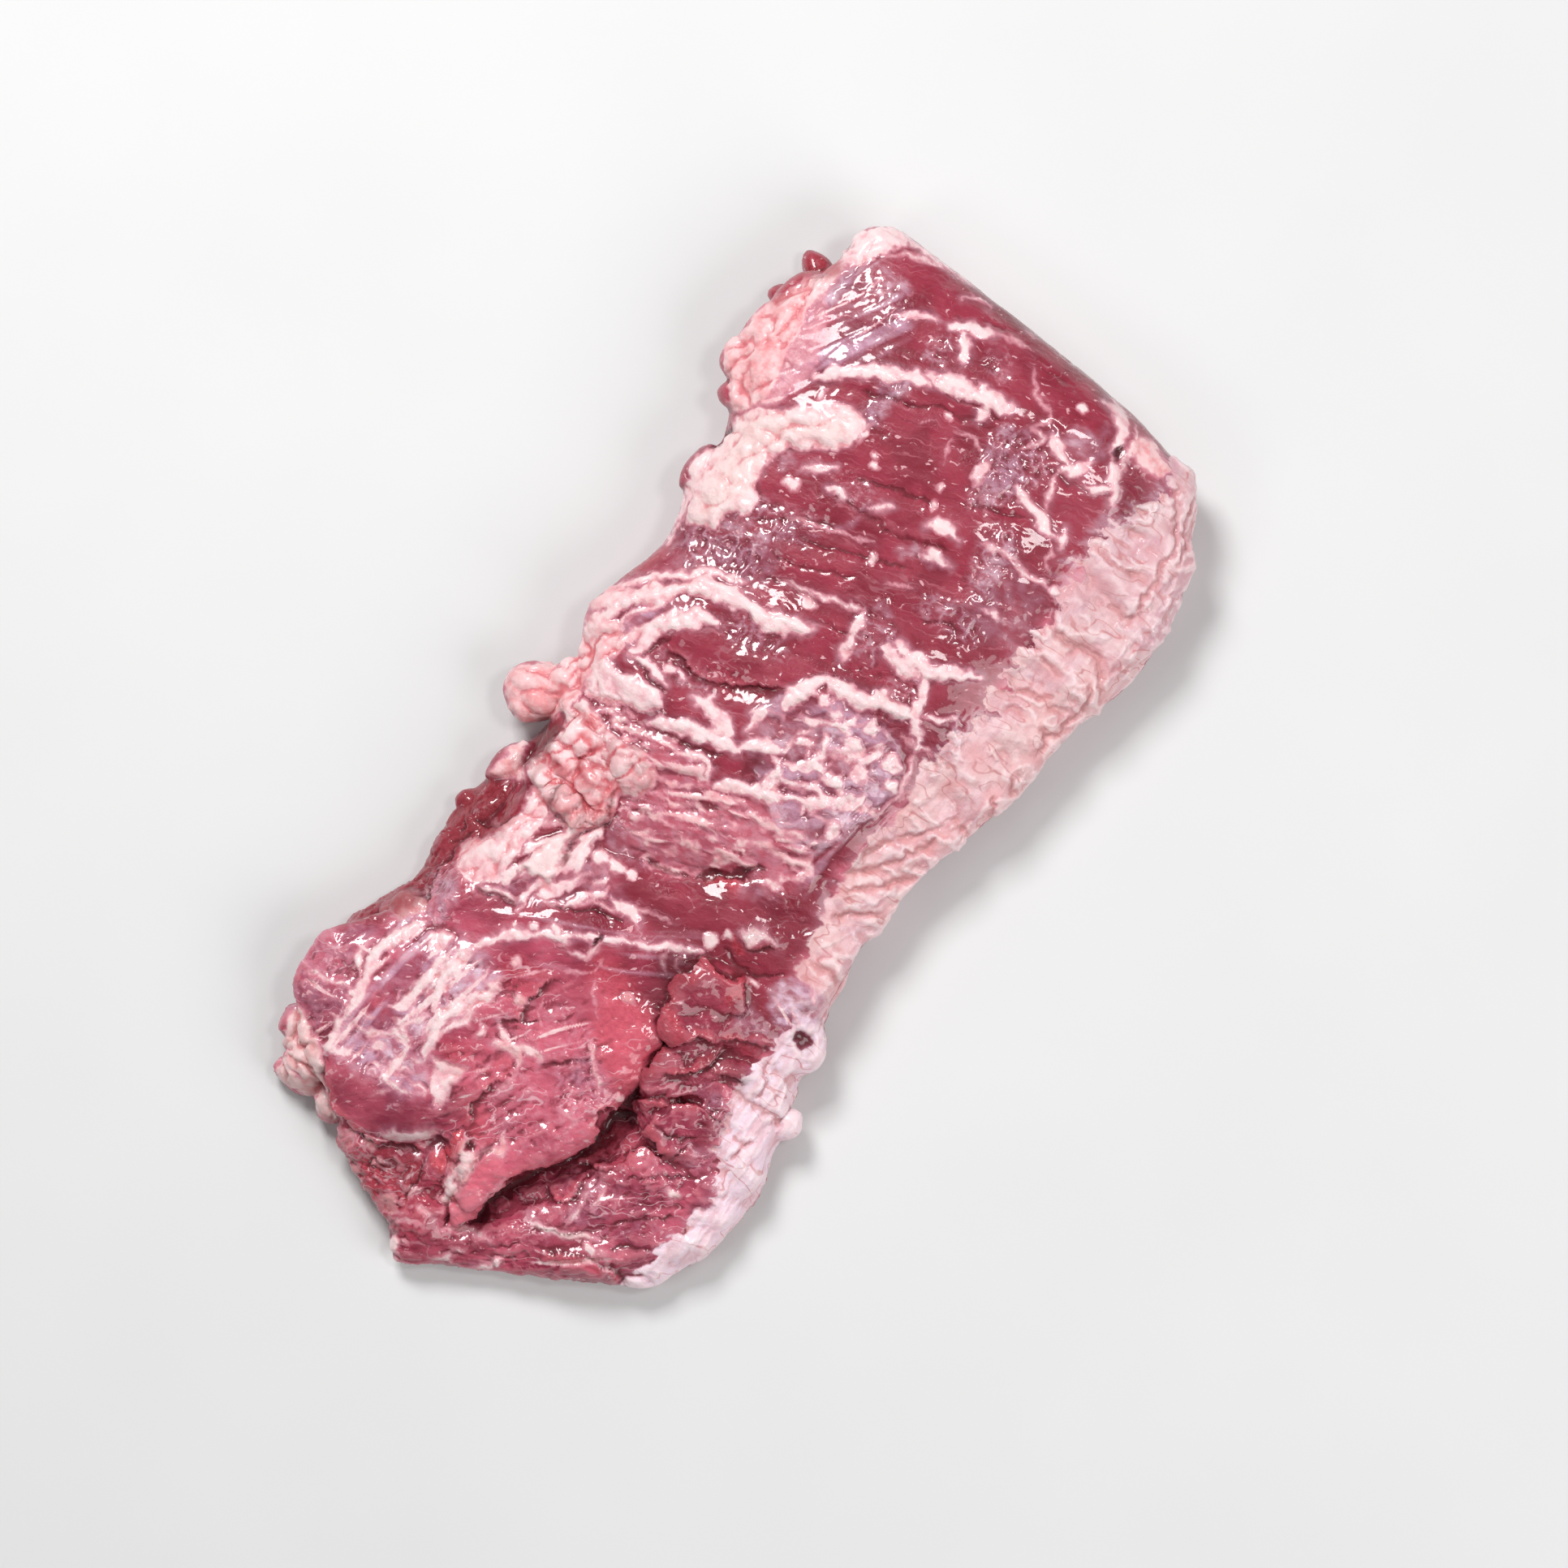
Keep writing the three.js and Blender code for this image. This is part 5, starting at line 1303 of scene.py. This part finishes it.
def settle(skin):
    """The pushes are made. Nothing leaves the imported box, and the underside stays where it is."""
    skin.lift *= ease(skin.place[:, 2], STILL_BELOW, FREE_ABOVE)
    moved = skin.place + skin.facing * skin.lift[:, None]
    low_corner, high_corner = (np.array(corner) / MM for corner in CAD_BOX)
    skin.place = np.clip(moved, low_corner, high_corner)
    skin.mesh.vertices.foreach_set("co", (skin.place * MM).astype(np.float32).ravel())
    skin.mesh.update()


def note_relief(skin):
    """Marks crests above one half and hollows below it. The material paints light on the crests and shade in
    the hollows from these marks.
    """
    facing = numbers_of(skin.mesh.vertex_normals, "vector")
    soft = list(skin.place.T)
    for _ in range(RELIEF_REACH):
        soft = [skin.average(axis) for axis in soft]
    height = ((skin.place - np.array(soft).T) * facing).sum(1)
    skin.marks["relief"] = np.clip(0.5 + height / (2 * RELIEF_DEPTH), 0, 1)


WALL_SPREAD = 0.5
UNDERSIDE_TILT = -0.45


def lay_chart(skin):
    """A flat map of the skin: the top with its sides folded out, and the underside beside it."""
    facing = list(numbers_of(skin.mesh.vertex_normals, "vector").T)
    for _ in range(RELIEF_REACH * 2):
        facing = [skin.average(axis) for axis in facing]
    outward = np.c_[facing[0], facing[1]]
    steep = np.hypot(*outward.T)
    outward /= np.maximum(steep, 0.3)[:, None]
    low, high = (np.array(corner) / MM for corner in CAD_BOX)
    drop = (high[2] - skin.place[:, 2]) * WALL_SPREAD * ease(steep, 0.3, 0.9)
    top = skin.place[:, :2] + outward * drop[:, None]
    margin = high[2] * WALL_SPREAD + 2
    scale = 1 / max(2 * (high[0] - low[0] + 2 * margin), high[1] - low[1] + 2 * margin)
    top = (top - low[:2] + margin) * scale
    below = (skin.place[:, :2] - low[:2] + margin) * scale + (0.5, 0)
    count = len(skin.mesh.loops)
    points = np.empty(count, np.int32)
    skin.mesh.loops.foreach_get("vertex_index", points)
    sizes = np.empty(len(skin.mesh.polygons), np.int32)
    skin.mesh.polygons.foreach_get("loop_total", sizes)
    face = np.repeat(np.arange(len(sizes)), sizes)
    tilt = np.bincount(face, facing[2][points]) / sizes
    chart = np.where((tilt[face] < UNDERSIDE_TILT)[:, None], below[points], top[points])
    layer = skin.mesh.uv_layers.new(name="OFBake")
    layer.data.foreach_set("uv", chart.astype(np.float32).ravel())


def write_marks(skin):
    """The marks and the fibre places go into the mesh."""
    for name, values in skin.marks.items():
        layer = skin.mesh.attributes.new(name, "FLOAT", "POINT")
        layer.data.foreach_set("value", values.astype(np.float32))
    layer = skin.mesh.attributes.new("grain", "FLOAT_VECTOR", "POINT")
    layer.data.foreach_set("vector", skin.grain.astype(np.float32).ravel())
    skin.mesh.update()


# ---------------------------------------------------------------- finishes

def linear(red, green, blue):
    """A colour of 0 to 255 a channel, as light."""
    parts = [channel / 255 for channel in (red, green, blue)]
    return tuple(c / 12.92 if c <= 0.04045 else ((c + 0.055) / 1.055) ** 2.4 for c in parts) + (1.0,)


class Level:
    """A number socket that takes part in ordinary sums."""

    def __init__(self, finish, socket):
        self.finish, self.socket = finish, socket

    def math(self, operation, other, swap=False):
        sides = (other, self) if swap else (self, other)
        return self.finish.level("Math", {"operation": operation}, dict(enumerate(sides)))

    def __add__(self, other):
        return self.math("ADD", other)

    def __sub__(self, other):
        return self.math("SUBTRACT", other)

    def __mul__(self, other):
        return self.math("MULTIPLY", other)

    def __rsub__(self, other):
        return self.math("SUBTRACT", other, swap=True)

    __radd__ = __add__
    __rmul__ = __mul__

    def __or__(self, other):
        return self.math("MAXIMUM", other)

    def between(self, low, high):
        """0 at low, 1 at high, smooth between."""
        settings = {"interpolation_type": "SMOOTHSTEP"}
        return self.finish.level("MapRange", settings, {0: self, 1: low, 2: high})


class Finish:
    """A material and the nodes in it."""

    def __init__(self, name):
        self.material = bpy.data.materials.new(name)
        self.material.use_nodes = True
        self.tree = self.material.node_tree
        self.tree.nodes.clear()

    def node(self, kind, settings=None, inputs=None):
        """A node with its settings, then the values or links of its sockets."""
        made = self.tree.nodes.new("ShaderNode" + kind)
        for name, value in (settings or {}).items():
            setattr(made, name, value)
        for key, value in (inputs or {}).items():
            if isinstance(value, Level):
                value = value.socket
            if isinstance(value, bpy.types.NodeSocket):
                self.tree.links.new(value, made.inputs[key])
            else:
                made.inputs[key].default_value = value
        return made

    def level(self, kind, settings=None, inputs=None, output=0):
        return Level(self, self.node(kind, settings, inputs).outputs[output])

    def mark(self, name):
        """One of the marks that the carving left on the skin."""
        return self.level("Attribute", {"attribute_name": name}, output="Fac")

    def stretched(self, places, sizes):
        """Places measured in units of the given sizes."""
        scale = tuple(1 / size for size in sizes)
        return self.node("VectorMath", {"operation": "MULTIPLY"}, {0: places, 1: scale}).outputs[0]

    def noise(self, places, sizes, detail=2.0, roughness=0.5):
        """Random hills of the given sizes, about 0.5."""
        vector = self.stretched(places, sizes)
        inputs = {"Vector": vector, "Scale": 1.0, "Detail": detail, "Roughness": roughness}
        return self.level("TexNoise", {}, inputs)

    def mix(self, share, first, second):
        """first where share is 0, second where it is 1."""
        made = self.node("Mix", {"data_type": "RGBA"}, {0: share, 6: first, 7: second})
        return made.outputs[2]


# A pair of colours is a darker and a lighter tone, between which the random unevenness runs. The hollow
# colours below are painted shade, the crest colours painted light, and the deep dark is partly dark red meat
# and partly painted shade.
MEAT = linear(134, 36, 54), linear(158, 52, 72)
ROSY_MEAT = linear(150, 48, 74), linear(200, 86, 110)
BRIGHT_BLOOD = linear(176, 34, 50), linear(222, 84, 98)
MEAT_STRAND = linear(180, 90, 106)
MEAT_FIBRE = linear(212, 128, 142)
MEAT_GAP = linear(108, 24, 38)
MEAT_SALMON = linear(242, 120, 140)
MEAT_CREST_LIGHT = linear(226, 138, 150)
MEAT_HOLLOW_SHADE = linear(104, 22, 34)
SILVER = linear(206, 160, 184), linear(226, 192, 208)
SILVER_HOLLOW_SHADE = linear(158, 84, 108)
FAT_FLECK = linear(232, 176, 184)
FAT_THREAD = linear(238, 190, 200)
PALE_SKIN = linear(224, 164, 172), linear(244, 204, 208)
SKIN_CREAM = linear(240, 200, 194)
SKIN_ROSE = linear(230, 160, 162)
SKIN_SALMON = linear(232, 152, 148)
SKIN_LILAC = linear(200, 170, 184)
SKIN_WHITE = linear(246, 220, 234)
SKIN_LINE = linear(204, 130, 132)
SKIN_HOLLOW_SHADE = linear(212, 146, 148)
SKIN_CREST_LIGHT = linear(252, 232, 234)
PINK_FAT = linear(236, 180, 188), linear(246, 214, 216)
CREAM_FAT = linear(230, 194, 192), linear(240, 214, 212)
FAT_SALMON = linear(238, 142, 144)
FAT_HOLLOW_SHADE = linear(216, 122, 130)
FAT_CREST_LIGHT = linear(252, 228, 228)
FAT_BLOOD = linear(206, 66, 80)
THIN_FAT = linear(226, 150, 164)
DARK_RED_AND_SHADE = linear(72, 8, 18)
PAPER = linear(222, 222, 222), linear(228, 228, 228)


def read_skin(f):
    """The carving's marks, and the unevenness that several of the skin's colours share."""
    s = SimpleNamespace(**{name: f.mark(name) for name in MARKS})
    position = f.node("TexCoord").outputs["Object"]
    s.places = f.node("VectorMath", {"operation": "SCALE"}, {0: position, 3: 1 / MM}).outputs[0]
    s.grain = f.node("Attribute", {"attribute_name": "grain"}).outputs["Vector"]
    # Painted shade in hollows and painted light on crests, from the relief mark.
    s.hollow = s.relief.between(0.46, 0.18)
    s.crest = s.relief.between(0.54, 0.85)
    s.blotches = f.noise(s.places, (14, 14, 14), 2)
    s.specks = f.noise(s.places, (1.5, 1.5, 1.5), 3, 0.6)
    s.fibres = f.noise(s.grain, (12, 1.1, 2.5), 3, 0.6)
    s.lace = f.noise(s.grain, (7, 2.8, 5), 4, 0.65)
    return s


def meat_colour(f, s):
    """Red fibres, rosier at the thin end, brighter where it is torn, with painted light on crests and painted
    shade in hollows.
    """
    strands = f.noise(s.grain, (24, 2.8, 6), 3, 0.55)
    uneven = s.blotches.between(0.35, 0.65)
    meat = f.mix(s.rosy, f.mix(uneven, *MEAT), f.mix(uneven, *ROSY_MEAT))
    meat = f.mix(strands.between(0.5, 0.75) * 0.3, meat, MEAT_STRAND)
    meat = f.mix(s.fibres.between(0.56, 0.74) * 0.38, meat, MEAT_FIBRE)
    meat = f.mix(s.fibres.between(0.44, 0.27) * 0.4, meat, MEAT_GAP)
    meat = f.mix(s.blood * 0.75, meat, f.mix(s.specks.between(0.3, 0.7), *BRIGHT_BLOOD))
    meat = f.mix(s.salmon * 0.75, meat, MEAT_SALMON)
    meat = f.mix(s.crest * (0.15 + s.rosy * 0.25) * (1 - s.blood * 0.7), meat, MEAT_CREST_LIGHT)
    return f.mix(s.hollow * 0.7, meat, MEAT_HOLLOW_SHADE)


def silver_colour(f, s):
    """The silvery film that lies over meat, with painted shade in its hollows."""
    silver = f.mix(s.blotches.between(0.4, 0.6), *SILVER)
    return f.mix(s.hollow * 0.8, silver, SILVER_HOLLOW_SHADE)


def veiled_colour(f, s, meat, silver):
    """Meat under its film, with flecks and hair-thin threads of fat."""
    meat = f.mix(s.film * (0.55 + s.lace.between(0.35, 0.6) * 0.45) * 0.9, meat, silver)
    flecks = f.noise(s.grain, (3.4, 1.7, 3), 2, 0.55)
    meat = f.mix(flecks.between(0.65, 0.72) * 0.8, meat, FAT_FLECK)
    threads = f.noise(s.grain, (16, 5, 9), 1, 0.5)
    patches = f.noise(s.places, (18, 18, 18), 2).between(0.46, 0.6)
    lines = threads.between(0.484, 0.497) * threads.between(0.516, 0.503)
    return f.mix(lines * patches * (0.12 + s.rosy * 0.5), meat, FAT_THREAD)


def pale_skin_colour(f, s):
    """The pale skin along the side: streaked, whiter at the thin end, with fine reddish lines, painted shade
    in hollows and painted light on crests.
    """
    streaks = f.noise(s.places, (3.0, 14, 6), 4, 0.6)
    skin = f.mix(streaks.between(0.35, 0.65), *PALE_SKIN)
    skin = f.mix(s.blotches.between(0.46, 0.62) * 0.55, skin, SKIN_CREAM)
    skin = f.mix(s.blotches.between(0.5, 0.36) * 0.5, skin, SKIN_ROSE)
    skin = f.mix(s.salmon * 0.7, skin, SKIN_SALMON)
    skin = f.mix(s.film * 0.5, skin, SKIN_LILAC)
    skin = f.mix(s.cream * (0.5 + streaks.between(0.4, 0.6) * 0.4), skin, SKIN_WHITE)
    veins = f.noise(s.places, (15, 5.5, 8), 1, 0.5)
    lines = veins.between(0.476, 0.494) * veins.between(0.524, 0.506) * s.blotches.between(0.38, 0.55)
    skin = f.mix(lines * 0.75, skin, SKIN_LINE)
    skin = f.mix(s.hollow * 0.65, skin, SKIN_HOLLOW_SHADE)
    return f.mix(s.crest * 0.5, skin, SKIN_CREST_LIGHT)


def fat_colour(f, s):
    """Pink or cream fat, salmon in places, with reddish painted shade in its hollows and painted light on its
    crests.
    """
    tone = f.noise(s.places, (4, 4, 4), 3, 0.6)
    fat = f.mix(tone.between(0.32, 0.6), *PINK_FAT)
    fat = f.mix(s.cream, fat, f.mix(tone.between(0.35, 0.6), *CREAM_FAT))
    fat = f.mix(s.salmon * (0.36 + tone.between(0.6, 0.35) * 0.5), fat, FAT_SALMON)
    fat = f.mix(s.hollow * 0.7, fat, FAT_HOLLOW_SHADE)
    fat = f.mix(s.crest * (0.5 - s.salmon * 0.35), fat, FAT_CREST_LIGHT)
    return f.mix(s.blood * 0.75, fat, FAT_BLOOD)


def underside_colour(f, s, surface, silver, fat):
    """Sheets of film and pads of fat on what faces down."""
    sheets = f.noise(s.grain, (60, 15, 20), 4, 0.6).between(0.5, 0.6)
    pads = f.noise(s.places, (34, 26, 26), 5, 0.6).between(0.56, 0.6)
    surface = f.mix(s.under * sheets * (0.4 + s.lace.between(0.35, 0.65) * 0.4), surface, silver)
    return f.mix(s.under * pads, surface, fat)


def fine_bump(f, s):
    """Fibres, grain and the crinkle of wet film, too fine for the skin's net."""
    height = s.fibres * 0.12 + s.specks * 0.1 + f.noise(s.places, (3, 3, 3), 4, 0.6) * 0.3
    height = height + f.noise(s.places, (1.1, 1.1, 1.1), 2) * (0.06 + s.wet * 0.34)
    return f.node("Bump", {}, {"Strength": 1.0, "Distance": MM, "Height": height}).outputs[0]


def steak_finish():
    """Wet raw meat with its fat, silverskin and the pale skin along its side."""
    f = Finish("raw_meat_wet")
    s = read_skin(f)
    silver = silver_colour(f, s)
    fat = fat_colour(f, s)
    skin_edge = (s.band + s.specks * 0.22 + s.lace * 0.2).between(0.60, 0.86)
    ragged = s.fat + s.specks * 0.24 + s.lace * 0.26
    fat_edge = ragged.between(0.68, 0.92)
    surface = veiled_colour(f, s, meat_colour(f, s), silver)
    surface = f.mix(skin_edge, surface, pale_skin_colour(f, s))
    surface = f.mix(ragged.between(0.50, 0.72) * 0.6, surface, THIN_FAT)
    surface = f.mix(fat_edge, surface, fat)
    surface = underside_colour(f, s, surface, silver, fat)
    # The dark mark: the darker red of some muscle, and painted shade in creases, pits, gaps, furrows, the
    # crevice and below flap edges.
    surface = f.mix(s.dark * 0.92, surface, DARK_RED_AND_SHADE)
    shader = f.node("BsdfPrincipled", {}, {
        "Base Color": surface,
        "Roughness": 0.42 - s.wet * 0.2 - s.film * 0.08 + s.dull * 0.12,
        "IOR": 1.42,
        "Specular IOR Level": 0.3,
        "Subsurface Weight": 0.1,
        "Subsurface Radius": (1.0, 0.35, 0.25),
        "Subsurface Scale": 0.8 * MM,
        "Coat Weight": 0.6 + s.wet * 0.4 - (fat_edge | skin_edge) * 0.35 - s.dull * 0.5,
        "Coat Roughness": 0.07,
        "Coat IOR": 1.6,
        "Normal": fine_bump(f, s),
    })
    f.node("OutputMaterial", {}, {0: shader.outputs[0]})
    return f.material


def floor_finish():
    """Plain pale paper, with a faint mottle."""
    f = Finish("pale_paper")
    position = f.node("TexCoord").outputs["Object"]
    mottle = f.noise(position, (0.08, 0.08, 0.08), 3)
    shader = f.node("BsdfPrincipled", {}, {"Base Color": f.mix(mottle, *PAPER), "Roughness": 0.8})
    f.node("OutputMaterial", {}, {0: shader.outputs[0]})
    return f.material


# ---------------------------------------------------------------- the piece

def steak_surface():
    """The whole steak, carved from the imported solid."""
    piece = fine_skin(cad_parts["skirt_steak"])
    skin = Skin(piece.data)
    tone_meat(skin)
    carve_band(skin)
    carve_upper(skin)
    carve_middle(skin)
    carve_fat_mass(skin)
    lay_webs(skin)
    shape_muscles(skin)
    tear_thin_end(skin)
    carve_meat(skin)
    carve_fat(skin)
    wet_film(skin)
    settle(skin)
    note_relief(skin)
    lay_chart(skin)
    write_marks(skin)
    piece.data.materials.append(steak_finish())
    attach(piece, "root")
    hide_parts("skirt_steak")
    return piece


# ---------------------------------------------------------------- floor and light

FLOOR_HALF_M = 3.0


def lay_floor():
    """A wide plain floor."""
    mesh = bpy.data.meshes.new("floor")
    half = FLOOR_HALF_M
    corners = [(-half, -half, 0), (half, -half, 0), (half, half, 0), (-half, half, 0)]
    mesh.from_pydata(corners, [], [(0, 1, 2, 3)])
    floor = bpy.data.objects.new("floor", mesh)
    floor.data.materials.append(floor_finish())
    bpy.context.collection.objects.link(floor)


def soft_box(name, place_m, size_m, watts):
    """A square soft light that faces the steak."""
    lamp = bpy.data.lights.new(name, "AREA")
    lamp.size = size_m
    lamp.energy = watts
    holder = bpy.data.objects.new(name, lamp)
    holder.location = place_m
    x, y, z = place_m
    holder.rotation_euler = (math.atan2(math.hypot(x, y), z), 0, math.atan2(y, x) + math.pi / 2)
    bpy.context.collection.objects.link(holder)


ROOM_LIGHT = 0.165
SOFT_BOXES = [
    ("soft_box_left", (-0.85, 0.5, 1.15), 0.46, 16.6),
    ("soft_box_right", (1.15, 0.1, 0.95), 0.9, 10.0),
    ("soft_box_top", (0.3, 0.45, 1.5), 0.24, 3.4),
    ("soft_box_near", (-0.55, -0.8, 1.1), 0.4, 2.0),
]


def studio_light():
    """A pale room with four soft boxes."""
    world = bpy.data.worlds.new("pale_room")
    world.use_nodes = True
    sky = world.node_tree.nodes["Background"]
    sky.inputs["Color"].default_value = (1, 1, 1, 1)
    sky.inputs["Strength"].default_value = ROOM_LIGHT
    bpy.context.scene.world = world
    for box in SOFT_BOXES:
        soft_box(*box)
    bpy.context.scene.view_settings.view_transform = "Standard"


steak_surface()
lay_floor()
studio_light()
